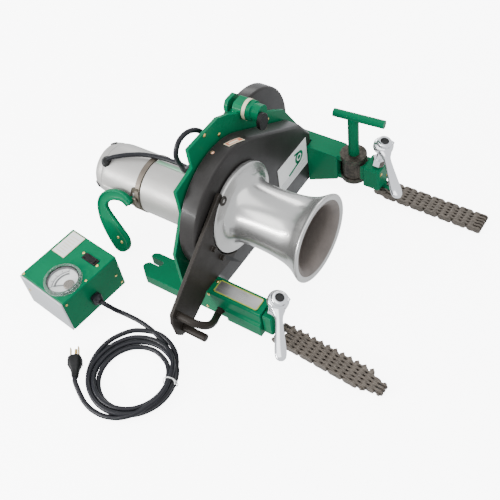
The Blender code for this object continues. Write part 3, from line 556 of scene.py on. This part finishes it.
NEAR_CHAIN = ((123.5, -107.5, FLOOR + 8.0), -3.8, 15)
FAR_CHAIN = ((136.5, 243.5, FLOOR + 8.0), -0.5, 14)


def coil_point(turn, radius, height):
    a = math.radians(turn)
    return (HOLE[0] + radius * math.cos(a), HOLE[1] + radius * math.sin(a), FLOOR + height)


def cord_route():
    """The lead from the box, four and a half turns that fan out on the far side, then the plug."""
    yaw = Matrix.Rotation(math.radians(-7.0), 3, "Z")
    exit_at = Vector((-228.0, -197.0, 0.0)) + yaw @ Vector((70.3, -3.0, -103.0))
    low = FLOOR + LOW
    lead = [exit_at, exit_at + yaw @ Vector((6.0, 0.0, 0.0)), (-144.5, -207.0, -109.0),
            (-138.5, -203.0, -119.0), (-132.0, -199.5, -126.0), (-124.0, -197.4, low + 0.3),
            (-113.0, -197.0, low), (-98.0, -197.0, low), (-81.0, -198.4, low), (-66.0, -201.0, low),
            (-52.0, -204.8, low), (-38.0, -209.5, low), (-18.0, -218.6, low), (0.0, -229.4, low)]
    route = [tuple(p) for p in lead]
    for (t0, r0, z0), (t1, r1, z1) in zip(TURNS, TURNS[1:]):
        count = max(1, round(abs(t1 - t0) / 12.0))
        for k in range(count):
            s = k / count
            route.append(coil_point(t0 + (t1 - t0) * s, r0 + (r1 - r0) * s, z0 + (z1 - z0) * s))
    route.append(coil_point(*TURNS[-1]))
    route += [tuple(PLUG_TAIL - PLUG_WAY * 9.0), tuple(PLUG_TAIL - PLUG_WAY * 0.4)]
    return route


def make_cord():
    points = [W(*p) for p in smooth_path(cord_route(), 3)]
    curve = bpy.data.curves.new("mains_cord", "CURVE")
    curve.dimensions = "3D"
    spline = curve.splines.new("POLY")
    spline.points.add(len(points) - 1)
    for slot, p in zip(spline.points, points):
        slot.co = (*p, 1.0)
    curve.bevel_depth = CORD_R * MM
    curve.bevel_resolution = 5
    curve.use_fill_caps = True
    ob = bpy.data.objects.new("mains_cord", curve)
    bpy.context.scene.collection.objects.link(ob)
    curve.materials.append(LOOKS["rubber"])
    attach(ob, "chassis")
    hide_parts("cord_lead", "cord_coil")
    length = sum((b - a).length for a, b in zip(points, points[1:]))
    return ob, points[0], length


# ---------------------------------------------------------------- drum and guards

def drum():
    back = -8.5
    outer = [(-2.2, 77.0), (-0.4, 75.6), (2.0, 66.5), (6.5, 58.2), (14.0, 53.4), (26.0, 51.0), (45.0, 50.0),
             (65.0, 50.6), (85.0, 52.4), (103.0, 55.4), (117.0, 60.0), (127.0, 65.5), (134.0, 70.2),
             (137.6, 72.0), (139.6, 71.4), (140.0, 69.5), (139.5, 66.0), (138.6, 62.5)]
    curve = [(p[0], p[1]) for p in smooth_path([(x, r, 0) for x, r in outer], 5)]
    profile = [(back, 13.0), (back, 75.6), (back + 1.4, 77.0), *curve]
    bm = bmesh.new()
    lathe(bm, profile, steps=160)
    piece("drum_skin", bm, "drum", "capstan", "capstan_drum")
    inner = [(138.6, 62.5), (137.2, 58.4), (134.4, 54.2), (129.4, 50.8), (120.0, 47.8), (100.0, 46.2),
             (60.0, 45.5), (22.0, 45.0), (17.5, 43.0), (16.2, 39.0), (16.0, 22.0), (16.0, 12.4)]
    curve = [(p[0], p[1]) for p in smooth_path([(x, r, 0) for x, r in inner], 4)]
    bm = bmesh.new()
    lathe(bm, curve, steps=128)
    piece("drum_bore", bm, "bore", "capstan")
    dress(["capstan_bolt"], "steel", 1.0)
    dress(["capstan_shaft", "capstan_sprocket"], "steel", 0.3)


def guard_outline(count=60):
    radius, far = 113.0, 195.0
    slope = math.radians(58.0)
    normal = (math.cos(slope), math.sin(slope))
    z_far = (radius - normal[0] * far) / normal[1]
    points = arc((0.0, 0.0), radius, 58.0, 222.0, count)
    points += [(-60.0, FLOOR + 0.5), (224.0, FLOOR + 0.5), (224.0, -30.0), (far, z_far)]
    return points


def pan(bm, outline, x_open, x_face, radius, wall, eye=None, steps=5):
    """A drawn sheet cover: side wall, rounded shoulder and flat face with an optional round eye."""
    def inset(amount):
        n = len(outline)
        out = []
        for i in range(n):
            p, a, b = Vector(outline[i]), Vector(outline[i - 1]), Vector(outline[(i + 1) % n])
            d1, d2 = (p - a).normalized(), (b - p).normalized()
            n1, n2 = Vector((-d1.y, d1.x)), Vector((-d2.y, d2.x))
            m = (n1 + n2).normalized()
            out.append(p + m * (amount / max(0.45, m.dot(n1))))
        return out
    rows = [(x_open, 0.0)]
    for k in range(steps + 1):
        a = math.pi / 2 * k / steps
        rows.append((x_face - radius + radius * math.sin(a), radius * (1 - math.cos(a))))
    loops = [[bm.verts.new((x, p.x, p.y)) for p in inset(d)] for x, d in rows]
    back = [bm.verts.new((x_open, p.x, p.y)) for p in inset(wall)]
    n = len(outline)
    faces = []
    chain = [back, *loops]
    for a, b in zip(chain, chain[1:]):
        faces += [bm.faces.new((a[i], a[(i + 1) % n], b[(i + 1) % n], b[i])) for i in range(n)]
    last = loops[-1]
    if eye:
        count = 72
        rim = [bm.verts.new((x_face, eye[0] + eye[2] * math.cos(math.tau * k / count),
                             eye[1] + eye[2] * math.sin(math.tau * k / count))) for k in range(count)]
        ring = [bm.verts.new((x_face - wall, v.co.y, v.co.z)) for v in rim]
        faces += [bm.faces.new((rim[k], rim[(k + 1) % count], ring[(k + 1) % count], ring[k]))
                  for k in range(count)]
        edges = [bm.edges.get((last[i], last[(i + 1) % n])) for i in range(n)]
        edges += [bm.edges.get((rim[k], rim[(k + 1) % count])) for k in range(count)]
        filled = bmesh.ops.triangle_fill(bm, edges=edges, use_beauty=True)
        faces += [f for f in filled["geom"] if isinstance(f, bmesh.types.BMFace)]
    else:
        faces.append(bm.faces.new(last))
    bmesh.ops.recalc_face_normals(bm, faces=faces)


def guards():
    bm = bmesh.new()
    pan(bm, guard_outline(), -40.0, -10.0, 5.0, 3.0, (0.0, 0.0, 34.0))
    piece("guard_pan", bm, "black", replaces="front_guard")
    bm = bmesh.new()
    pan(bm, belt(JACK, 103.0, MOTOR, 36.0, 96), -97.0, -75.0, 4.0, 3.0, (*JACK, 12.0))
    piece("rear_pan", bm, "black", replaces="rear_guard")
    dress(["rear_cover"], "black", 0.5)
    dress(["frame_plate"], "green", 1.0)
    dress(["capstan_bearing", "jack_bearing"], "steel", 0.5)
    dress(["jack_shaft", "jack_pinion", "jack_sprocket", "motor_shaft", "motor_sprocket"], "steel", 0.3)
    dress(["front_drive_chain", "rear_drive_chain"], "chain", 0.4)
    bm = bmesh.new()
    for i in range(8):
        a = math.radians(20 + 45 * i)
        screw(bm, (-99.4, JACK[0] + 96 * math.cos(a), JACK[1] + 96 * math.sin(a)), (-1, 0, 0), 3.2, 1.6)
    for turn in (150, 215, 270):
        a = math.radians(turn)
        screw(bm, (-99.4, MOTOR[0] + 30 * math.cos(a), MOTOR[1] + 30 * math.sin(a)), (-1, 0, 0), 3.0, 1.5)
    piece("rear_cover_screws", bm, "nickel")


# ---------------------------------------------------------------- frame parts

def frame_parts():
    dress(["near_rail", "near_foot", "top_bracket"], "green", 1.4)
    dress(["far_arm"], "worn", 1.2)
    dress(["far_vise_head"], "worn", 1.2)
    dress(["near_vise_block"], "green", 1.0)
    dress(["t_handle_pin"], "green", 2.2)
    dress(["rope_ramp"], "dark", 1.0)
    dress(["ramp_peg"], "dark", 1.6)
    dress(["latch_knob"], "plastic", 2.0)
    path = [(-0.7, -192.0, -54.0), (12.0, -192.0, -54.0), (26.0, -191.5, -55.0), (36.0, -188.0, -59.0),
            (40.5, -181.0, -67.0), (40.0, -172.0, -77.0), (36.0, -162.0, -88.0), (30.0, -151.0, -100.0),
            (24.0, -142.0, -110.0), (19.5, -134.0, -116.5), (18.0, -128.0, -118.0), (18.0, -113.0, -118.0)]
    bm = bmesh.new()
    sweep(bm, smooth_path(path, 5), 6.3, 20)
    piece("ramp_handle", bm, "dark", "ramp", "ramp_rod")
    bm = bmesh.new()
    lathe(bm, [(0, 3.0), (0, 7.4), (2.4, 8.0), (3.6, 7.0), (3.6, 4.2), (0.4, 3.0)], (-1.2, -43.0, 58.0),
          (1, 0, 0), 28)
    piece("ramp_roller", bm, "dark", "ramp")
    # painted shade: a thin black crescent sheet on the ramp plate stands for the dark slot by the drum flange
    bm = bmesh.new()
    high, low = (-66.0, -42.0, 0), (-28.0, -108.0, 0)
    outer = smooth_path([high, (-62.0, -60.0, 0), (-50.0, -80.0, 0), low], 6)
    inner = smooth_path([low, (-45.5, -77.0, 0), (-57.5, -58.0, 0), high], 6)[1:-1]
    extrude(bm, [(p.x, p.y) for p in outer + inner], -0.95, -0.55)
    piece("ramp_slot_shade", bm, "soot", "ramp")
    y, z = BARREL
    bm = bmesh.new()
    lathe(bm, [(0, 16.0), (0, 17.3), (6.0, 17.3), (6.0, 16.0), (0, 16.0)], (-41.0, y, z), (1, 0, 0), 48)
    piece("bracket_band", bm, "cream")


def frame_screws():
    plate = -44.0
    brass = bmesh.new()
    for at in ((26.0, 117.0), (-6.0, 142.0), (151.0, 46.0)):
        screw(brass, (plate, *at), (1, 0, 0), 3.2, 1.6)
    for at, normal in (((-9.0, -120.2, -124.0), (0, -1, 0)), ((0.0, -120.2, -86.0), (0, -1, 0)),
                       ((2.0, -96.0, -79.8), (0, 0, 1))):
        screw(brass, at, normal, 2.8, 1.4)
    piece("frame_screws", brass, "brass")
    bm = bmesh.new()
    screw(bm, (-34.0, -7.5, 112.8), (0, 0, 1), 3.4, 1.8)
    piece("guard_screw", bm, "copper")


# ---------------------------------------------------------------- motor

def motor():
    y, z = MOTOR
    axis = (-1, 0, 0)

    def spin(turn):
        return Matrix.Translation((0, y, z)) @ Matrix.Rotation(math.radians(turn), 4, "X")

    bm = bmesh.new()
    lathe(bm, [(0, 9.0), (0, 44.0), (2, 47.5), (7, 49.4), (14, 50.0), (88, 50.0), (88, 46), (88, 9.0)],
          (-99.6, y, z), axis, 96)
    piece("gear_case", bm, "cast", replaces="gear_housing", bevel=0.6)
    bm = bmesh.new()
    lathe(bm, [(0, 47.0), (0, 51.0), (0.8, 51.6), (9.6, 51.6), (10.4, 51.0), (10.4, 47.0)],
          (-188.2, y, z), axis, 96)
    piece("motor_flange", bm, "band", replaces="motor_band", bevel=0.5)
    bm = bmesh.new()
    plate = [(-205.6, -74.0), (-203.0, -57.0), (-190.2, -57.0), (-187.4, -74.0), (-187.4, -90.0),
             (-190.2, -107.0), (-203.0, -107.0), (-205.6, -90.0)]
    fine = []
    for (x0, a0), (x1, a1) in zip(plate, plate[1:] + plate[:1]):
        count = max(1, round(abs(a1 - a0) / 5.0))
        fine += [(x0 + (x1 - x0) * k / count, a0 + (a1 - a0) * k / count) for k in range(count)]
    patch(bm, fine, MOTOR, 49.4, 53.6)
    lathe(bm, [(-0.5, 6.5), (1.6, 6.5), (2.2, 5.6), (2.2, 0)],
          (-196.5, y - 53.4 * math.sin(math.radians(82)), z + 53.4 * math.cos(math.radians(82))),
          (0, -math.sin(math.radians(82)), math.cos(math.radians(82))), 6)
    piece("motor_clamp", bm, "band", bevel=0.5)
    bm = bmesh.new()
    lathe(bm, [(0, 10.0), (0, 50.0), (62.8, 49.2), (71, 48.4), (75, 47.6), (76.9, 46.6), (76.9, 10.0)],
          (-199.0, y, z), axis, 96)
    turn = spin(85.0)
    rib = [(-206.0, 0, 46.0), (-268.0, 0, 45.4), (-277.0, 0, 42.5)]
    sweep(bm, [turn @ Vector(p) for p in rib], [6.0, 6.0, 4.5], 16)
    piece("motor_shell", bm, "cast", replaces="motor_body")
    bm = bmesh.new()
    lathe(bm, [(0, 10.0), (0, 46.4), (6, 46.0), (11.4, 45.0), (14.8, 43.2), (17.0, 41.0), (19.2, 35.0),
               (20.0, 30.0), (20.4, 20.0), (20.4, 9.0), (18.6, 8.0), (18.6, 0.0)], (-276.6, y, z), axis, 96)
    piece("motor_end", bm, "cast", replaces="motor_cap")
    # painted shade: the three caps on the motor's end are drawn in the painted-shade black
    bm = bmesh.new()
    for angle in (95.0, -25.0, 215.0):
        turn = spin(angle)
        lathe(bm, [(0, 6.6), (1.2, 6.4), (1.8, 5.2), (1.8, 0)], turn @ Vector((-290.0, 0, 43.4)),
              turn.to_3x3() @ Vector((-0.45, 0, 0.89)), 24)
    piece("motor_bolt_caps", bm, "soot")
    # painted shade: twelve black slabs on the end face stand for the dark vent slots
    bm = bmesh.new()
    for k in range(12):
        turn = spin(30.0 * k + 10.0)
        block(bm, (-297.6, -1.8, 13.0), (-295.8, 1.8, 25.0), turn)
    piece("motor_vent_shade", bm, "soot")


def motor_cable():
    y, z = MOTOR
    r = MOTOR_R + 4.2

    def over(x, turn, lift=2.2):
        a = math.radians(turn)
        return (x, y + r * math.sin(a), z + r * math.cos(a) + lift)

    path = [over(x, turn) for x, turn in (
        (-266.0, -28.0), (-258.0, -20.5), (-247.0, -13.3), (-238.0, -7.2), (-228.0, -1.3), (-219.0, 4.2),
        (-209.0, 9.0), (-198.0, 13.0), (-186.0, 16.5), (-172.0, 19.5), (-158.0, 21.0), (-142.0, 21.5),
        (-126.0, 20.5), (-110.0, 18.5))]
    last = path[-1]
    path += [(-105.0, last[1] - 3.0, last[2] + 9.0), (-101.0, last[1] - 10.0, last[2] + 24.0),
             (-92.0, last[1] - 26.0, last[2] + 42.0), (-82.0, -26.0, 70.0), (-74.0, -38.0, 95.0),
             (-71.0, -46.0, 118.0), (-68.0, -47.0, 134.0), (-66.0, -38.0, 148.0), (-64.0, -24.0, 152.0),
             (-62.0, -10.0, 148.0), (-60.0, 2.0, 138.0), (-58.0, 10.0, 124.0), (-56.0, 14.0, 108.0),
             (-55.0, 14.0, 92.0)]
    bm = bmesh.new()
    sweep(bm, smooth_path(path, 5), CORD_R, 16)
    piece("motor_lead", bm, "rubber", replaces="motor_cable")
    bm = bmesh.new()
    a = math.radians(-30.0)
    out = Vector((0.35, 0.94 * math.sin(a), 0.94 * math.cos(a))).normalized()
    lathe(bm, [(0, 10.0), (1.8, 10.0), (3.4, 8.4), (5.0, 8.2), (8.5, 6.0), (11.0, 5.2), (11.0, 0)],
          (-271.0, y + 46.4 * math.sin(a), z + 46.4 * math.cos(a)), out, 28)
    piece("motor_grommet", bm, "plastic")


def side_leg():
    spine = [(3.0, 1.0), (-9.5, -5.8), (-25.0, -5.5), (-41.5, 1.3), (-52.4, 12.0), (-55.3, 24.8),
             (-51.3, 36.0), (-43.9, 46.9), (-33.0, 58.5), (-20.9, 69.7), (-10.1, 79.0), (-4.0, 84.2),
             (0.5, 88.1), (3.5, 90.7), (4.6, 91.6)]
    widths = [8.5, 9.2, 9.8, 9.8, 10.0, 11.0, 13.4, 16.6, 19.0, 20.6, 21.2, 19.4, 14.8, 8.0, 2.8]
    px, py, pz = LEG_PIVOT
    lean = math.radians(25.0)
    frame_ = Matrix(((1, 0, 0, px), (0, -math.sin(lean), math.cos(lean), py),
                     (0, -math.cos(lean), -math.sin(lean), pz), (0, 0, 0, 1)))
    path = smooth_path([frame_ @ Vector((u, v, 0)) for u, v in spine], 4)
    wide = [p.x for p in smooth_path([(w, 0, 0) for w in widths], 4)]
    bm = bmesh.new()
    normal = frame_.to_3x3() @ Vector((0, 0, -1))
    sweep(bm, path, [5.0] * len(path), 36, wide, up=normal, power=4.0, dish=0.62)
    rod(bm, (px, -54.7, pz), (px, -43.2, pz), 6.0, 20)
    piece("leg_bar", bm, "green", "leg", "side_leg")
    bm = bmesh.new()
    for u, v in ((-7.5, 79.5), (-16.0, 73.5)):
        screw(bm, frame_ @ Vector((u, v, -1.9)), normal, 2.6, 1.8)
    piece("leg_rivets", bm, "brass", "leg")


# ---------------------------------------------------------------- vises

def tilt(base, lean, spin=0.0):
    turn = Matrix.Rotation(math.radians(lean), 4, "Y") @ Matrix.Rotation(math.radians(spin), 4, "Z")
    return Matrix.Translation(base) @ turn


def wrench(name, body, node, base, lean, spin, height, reach):
    """Ratchet wrench: round head with a hex socket drawn as a black disc of painted shade, a waist and a
    swelling handle.
    """
    frame_ = tilt(base, lean, spin)
    up = frame_.to_3x3() @ Vector((0, 0, 1))
    bm = bmesh.new()
    rows = [(9.0, 12.5, 5.8), (17.0, 10.0, 5.2), (28.0, 6.2, 4.6), (44.0, 6.2, 4.4), (reach * 0.62, 7.6, 4.6),
            (reach - 18.0, 9.0, 5.0), (reach - 8.0, 8.6, 4.8), (reach - 2.5, 6.4, 3.8), (reach, 3.0, 1.8)]
    pts = smooth_path([(x, 0, height - 1.3) for x, _, _ in rows], 4)
    sizes = smooth_path([(w, t, 0) for _, w, t in rows], 4)
    sweep(bm, [frame_ @ p for p in pts], [v.y for v in sizes], 20, [v.x for v in sizes], up=up, power=2.6)
    lathe(bm, [(-8.0, 6.4), (-8.0, 14.2), (-6.6, 15.8), (-4.5, 16.9), (2.2, 16.9), (4.2, 15.8), (5.0, 13.8),
               (5.6, 12.8), (9.6, 12.6), (11.0, 11.6), (11.4, 10.4), (11.4, 7.4), (8.4, 6.6), (-8.0, 6.4)],
          frame_ @ Vector((0, 0, height)), up, 48)
    piece(name, bm, "chrome", body, node, split=40.0)
    # painted shade: a black hex disc inside the head's ring stands for the dark socket
    bm = bmesh.new()
    lathe(bm, [(0.0, 0.0), (0.0, 7.3), (0.8, 7.3), (0.8, 0.0)], frame_ @ Vector((0, 0, height + 8.2)), up, 6)
    piece(name + "_drive", bm, "soot", body)
    bm = bmesh.new()
    pawl = [frame_ @ Vector((-3.0 + 6.0 * k, 14.9 - 2.4 * abs(k - 0.5), height + 5.4)) for k in (0, 0.5, 1)]
    sweep(bm, pawl, [1.6, 2.4, 1.6], 10, [2.2, 3.2, 2.2])
    piece(name + "_pawl", bm, "chrome", body)


def link_plate(length, half, waist):
    points = []
    for cx, start in ((length / 2, -90.0), (-length / 2, 90.0)):
        points += [(half * math.sin(math.radians(a)), cx + half * math.cos(math.radians(a)))
                   for a in range(int(start), int(start) + 181, 30)]
        points.append((waist if cx > 0 else -waist, 0.0))
    return points


def vise_chain(name, body, node, lay, toothed):
    """Leaf chain: eleven columns of plates, each column half a link out of step with the next.

    The toothed one has square nuts along one edge and narrows at its end.
    """
    root, yaw, pins = lay
    pitch, columns, step = 13.0, 11, 3.2
    corner = Matrix.Rotation(math.radians(45), 4, "Z")
    place = Matrix.Translation(root) @ Matrix.Rotation(math.radians(yaw), 4, "Z")
    bm = bmesh.new()
    for c in range(columns):
        y0 = (c - (columns - 1) / 2) * step
        for i in range(c % 2, pins - 1, 2):
            if (i == 0 and abs(y0) < 5.6) or (toothed and i >= pins - 3 and abs(y0) > 10.0):
                continue
            shape = [(z, x + (i + 0.5) * pitch) for z, x in link_plate(pitch, 6.3, 5.3)]
            extrude(bm, shape, y0 - 1.42, y0 + 1.42, "Y", place)
    for i in range(1, pins):
        end = 11.6 if toothed and i >= pins - 2 else 17.4
        rod(bm, place @ Vector((i * pitch, -end, 0)), place @ Vector((i * pitch, end, 0)), 3.0, 14, 0.6)
        if toothed and i < pins - 2:
            tooth = place @ Matrix.Translation((i * pitch, 16.6, 3.4)) @ corner
            block(bm, (-3.3, -3.3, -2.6), (3.3, 3.3, 3.0), tooth)
    rod(bm, place @ Vector((0, -17.4, 0)), place @ Vector((0, 17.4, 0)), 3.1, 14, 0.6)
    piece(name, bm, "chain", body, node, bevel=0.0)


def vises():
    near, far = (109.0, -102.0, -84.0), (118.0, 229.0, -58.0)
    dress(["near_screw", "far_screw"], "chrome", 0.5)
    wrench("near_ratchet", "near_tightener", "near_wrench", near, 20.0, -54.9, 42.5, 95.0)
    wrench("far_ratchet", "far_tightener", "far_wrench", far, 12.0, -49.7, 51.5, 107.0)
    vise_chain("near_links", "near_chain_run", "near_chain", NEAR_CHAIN, True)
    vise_chain("far_links", "far_chain_run", "far_chain", FAR_CHAIN, False)
    root, yaw, _ = FAR_CHAIN
    place = Matrix.Translation(root) @ Matrix.Rotation(math.radians(yaw), 4, "Z")
    bm = bmesh.new()
    for c in (-4, -2, 2, 4):
        shape = [(z, x - 13.0) for z, x in link_plate(13.0, 6.3, 5.3)]
        extrude(bm, shape, 3.2 * c - 1.42, 3.2 * c + 1.42, "Y", place)
    rod(bm, place @ Vector((-19.5, -14.6, 0)), place @ Vector((-19.5, 14.6, 0)), 3.0, 14, 0.6)
    piece("far_anchor", bm, "chain", "far_head")
    bm = bmesh.new()
    screw(bm, (129.0, 221.0, -70.0), (1, 0, 0), 3.4, 1.4)
    screw(bm, (129.0, 243.0, -90.0), (1, 0, 0), 3.0, 1.2)
    piece("far_nut_screws", bm, "brass", "far_head")


# ---------------------------------------------------------------- meter box

BOX = Matrix.Translation((-228.0, -197.0, 0.0)) @ Matrix.Rotation(math.radians(-7.0), 4, "Z")
BOX_HALF = (53.5, 60.5)
BOX_TOP = -62.0
DIAL = (18.2, -25.0)
HUB = (33.2, -25.0)


def meter_box():
    dress(["meter_box"], "green", 1.0)
    dress(["box_end_panel"], "silver", 0.6)
    dress(["switch_frame", "switch_rocker"], "plastic", 0.5)
    dress(["dial_face"], "white")
    dress(["dial_needle"], "ink", 0.2)
    dress(["dial_glass"], "window")
    dress(["cord_gland"], "rubber", 0.8)
    u, w = BOX_HALF
    up = (0, 0, 1)
    bm = bmesh.new()
    lathe(bm, [(0, 27.4), (0, 32.0), (4.6, 32.0), (6.4, 30.8), (7.0, 28.8), (6.6, 27.4), (0.0, 27.4)],
          BOX @ Vector((*DIAL, BOX_TOP + 0.3)), up, 64)
    piece("dial_case", bm, "clear", replaces="dial_bezel")
    bm = bmesh.new()
    lathe(bm, [(0, 24.6), (0, 27.2), (5.2, 27.2), (5.2, 26.0), (0.6, 24.6), (0, 24.6)],
          BOX @ Vector((*DIAL, BOX_TOP - 0.1)), up, 64)
    piece("dial_ring", bm, "plastic")

    def mark(bm, inner, outer, a0, a1):
        quad = [(inner, a0), (outer, a0), (outer, a1), (inner, a1)]
        bm.faces.new([bm.verts.new(BOX @ Vector((HUB[0] + r * math.cos(math.radians(a)),
                                                 HUB[1] + r * math.sin(math.radians(a)), BOX_TOP - 0.2)))
                      for r, a in quad])
    bm = bmesh.new()
    start, span = 137.0, 86.0
    for k in range(21):
        a = start + span * k / 20
        thick = 1.6 if k % 5 == 0 else 0.8
        mark(bm, 29.5, 34.5 if k % 5 == 0 else 32.5, a - thick / 2, a + thick / 2)
    for inner, outer in ((28.2, 29.8), (22.4, 26.0)):
        for k in range(30):
            mark(bm, inner, outer, start + span * k / 30, start + span * (k + 1) / 30)
    piece("dial_marks", bm, "ink", split=0.0)
    bm = bmesh.new()
    lathe(bm, [(0, 9.2), (2.2, 9.2), (3.4, 7.8), (3.4, 0)], BOX @ Vector((*HUB, BOX_TOP + 0.5)), up, 36)
    piece("needle_hub", bm, "band")
    bm = bmesh.new()
    block(bm, (-47.5, 7.0, BOX_TOP + 0.3), (-17.5, 57.0, BOX_TOP + 0.9), BOX)
    piece("box_card", bm, "cream", replaces="box_label", bevel=0.2)
    bm = bmesh.new()
    block(bm, (-46.3, 8.2, BOX_TOP + 0.8), (-18.7, 55.8, BOX_TOP + 1.1), BOX)
    piece("box_card_panel", bm, "white", bevel=0.1)
    bm = bmesh.new()
    for k in range(7):
        wide = 9.6 - 1.4 * (k % 3)
        row = 13.0 + 5.6 * k
        block(bm, (-32.5 - wide, row, BOX_TOP + 1.05), (-32.5 + wide, row + 1.1, BOX_TOP + 1.25), BOX)
    piece("box_card_rules", bm, "cream")
    bm = bmesh.new()
    for at in ((2.8, 34.6), (41.7, 29.3)):
        screw(bm, BOX @ Vector((*at, BOX_TOP)), up, 2.6, 1.3)
    screw(bm, BOX @ Vector((49.0, -3.0, BOX_TOP)), up, 2.4, 1.2)
    screw(bm, BOX @ Vector((-49.0, -54.0, BOX_TOP)), up, 2.4, 1.2)
    side = BOX.to_3x3() @ Vector((1, 0, 0))
    for at in ((u, 48.0, -100.0), (u, -52.0, -70.0), (u, 54.0, -124.0)):
        screw(bm, BOX @ Vector(at), side, 2.4, 1.2)
    screw(bm, BOX @ Vector((-40.0, -w, -92.0)), BOX.to_3x3() @ Vector((0, -1, 0)), 2.4, 1.2)
    piece("box_screws", bm, "brass")


def plug():
    turn = Vector((1, 0, 0)).rotation_difference(PLUG_WAY)
    place = Matrix.Translation(PLUG_TAIL) @ turn.to_matrix().to_4x4()
    bm = bmesh.new()
    spine = [0.0, 4.0, 10.0, 15.0, 19.0, 25.0, 31.0, 35.0, 37.2]
    half = [5.0, 5.4, 6.4, 7.8, 9.4, 10.6, 10.9, 10.6, 9.0]
    tall = [5.0, 5.4, 6.4, 7.8, 9.4, 11.0, 11.5, 11.2, 9.4]
    pts = smooth_path([(x, 0, 0) for x in spine], 3)
    sizes = smooth_path([(a, b, 0) for a, b in zip(half, tall)], 3)
    sweep(bm, [place @ p for p in pts], [v.y for v in sizes], 24, [v.x for v in sizes], power=3.0)
    for k in range(4):
        r = 6.0 + 0.3 * k
        at = place @ Vector((3.0 + 3.4 * k, 0, 0))
        lathe(bm, [(0, 4.0), (0, r), (1.4, r), (1.4, 4.0)], at, PLUG_WAY, 24)
    for s in (-1, 1):
        for k in range(3):
            x = 22.0 + 4.0 * k
            block(bm, (x, s * 10.4 - 0.7, -6.0), (x + 1.8, s * 10.4 + 0.7, 6.0), place)
    grip = piece("plug_grip", bm, "plastic", replaces="mains_plug")
    bm = bmesh.new()
    for s in (-1, 1):
        block(bm, (36.0, s * 6.35 - 0.8, -2.2), (54.6, s * 6.35 + 0.8, 4.2), place)
    rod(bm, place @ Vector((36.0, 0, -6.0)), place @ Vector((56.5, 0, -6.0)), 2.4, 16, 1.2)
    blades = piece("plug_blades", bm, "brass", bevel=0.3)
    return [grip, blades]


def cord_tie():
    """A thin twist tie drawn round the whole bundle."""
    a = math.radians(20.0)
    out = Vector((math.cos(a), math.sin(a), 0))
    centre = Vector((*HOLE, 0)) + out * 61.5
    loop = [(-11.2, 3.0), (-11.6, 9.0), (-10.4, 15.5), (-6.2, 22.0), (0.0, 25.0), (6.2, 22.0), (10.2, 15.5),
            (11.4, 9.0), (11.0, 3.0), (7.0, 0.5), (-7.0, 0.5)]
    pts = [centre + out * p[0] + Vector((0, 0, FLOOR + p[1])) for p in loop]
    bm = bmesh.new()
    ring = smooth_path(pts, 4, closed=True)
    sweep(bm, [*ring, ring[0]], 0.5, 8, 1.1, up=(0, 0, 1))
    tail = [pts[5], pts[5] + out * 4 + Vector((2, -4, 2)), pts[5] + out * 7 + Vector((3, -9, 1))]
    sweep(bm, smooth_path(tail, 4), 0.45, 8, 0.9)
    return piece("twist_tie", bm, "white", replaces="cord_tie")


# ---------------------------------------------------------------- labels

def labels():
    dress(["rail_plate"], "plate", 0.3)
    dress(["guard_label"], "white", 0.2)
    dress(["motor_plate"], "mint", 0.2)
    rail_top = -80.0 + 1.2
    y0, y1 = RAIL_PLATE_Y
    bm = bmesh.new()
    for low, high in (((6.0, y0), (88.0, y0 + 1.6)), ((6.0, y1 - 1.6), (88.0, y1)),
                      ((6.0, y0), (7.6, y1)), ((86.4, y0), (88.0, y1))):
        block(bm, (*low, rail_top - 0.3), (*high, rail_top + 0.25))
    piece("rail_plate_line", bm, "lime")
    face = -9.7 + 0.8
    bm = bmesh.new()
    lathe(bm, [(0, 7.5), (0, 12.5), (0.25, 12.5), (0.25, 7.5), (0, 7.5)], (face, 180.0, -50.0), (1, 0, 0), 48)
    lathe(bm, [(0, 0), (0, 4.4), (0.25, 4.4), (0.25, 0)], (face, 180.0, -50.0), (1, 0, 0), 32)
    extrude(bm, [(144.0, -64.0), (146.0, -69.0), (182.0, -62.6), (181.0, -57.8)], face, face + 0.25)
    extrude(bm, [(166.0, -33.5), (166.0, -38.0), (181.0, -42.0), (181.0, -37.4)], face, face + 0.25)
    piece("label_sign", bm, "green")
    bm = bmesh.new()
    for k in range(6):
        z = -68.0 - 3.0 * k
        end = 196.0 - 9.0 * (k % 3)
        extrude(bm, [(120.0, z), (120.0, z - 0.8), (end, z - 0.8), (end, z)], face, face + 0.2)
    piece("label_rules", bm, "grey")
    bm = bmesh.new()
    bent_strip(bm, (-25.0, -14.4), (7.5, 22.8), (0.0, 0.0), 113.3, 113.9, skew=8.0)
    piece("sticker_card", bm, "cream", replaces="guard_sticker")
    bm = bmesh.new()
    bent_strip(bm, (-23.6, -15.8), (8.2, 22.1), (0.0, 0.0), 113.5, 114.1, skew=7.3)
    piece("sticker_field", bm, "red")
    bm = bmesh.new()
    bent_strip(bm, (-21.6, -17.8), (9.6, 18.6), (0.0, 0.0), 113.5, 114.2, skew=4.6)
    piece("sticker_bar", bm, "cream")


# ---------------------------------------------------------------- assembly

def build():
    make_camera()
    make_looks()
    cord, exit_at, length = make_cord()
    pieces = [*plug(), cord_tie()]
    make_studio()
    drum()
    guards()
    frame_parts()
    frame_screws()
    motor()
    motor_cable()
    side_leg()
    vises()
    meter_box()
    labels()


build()
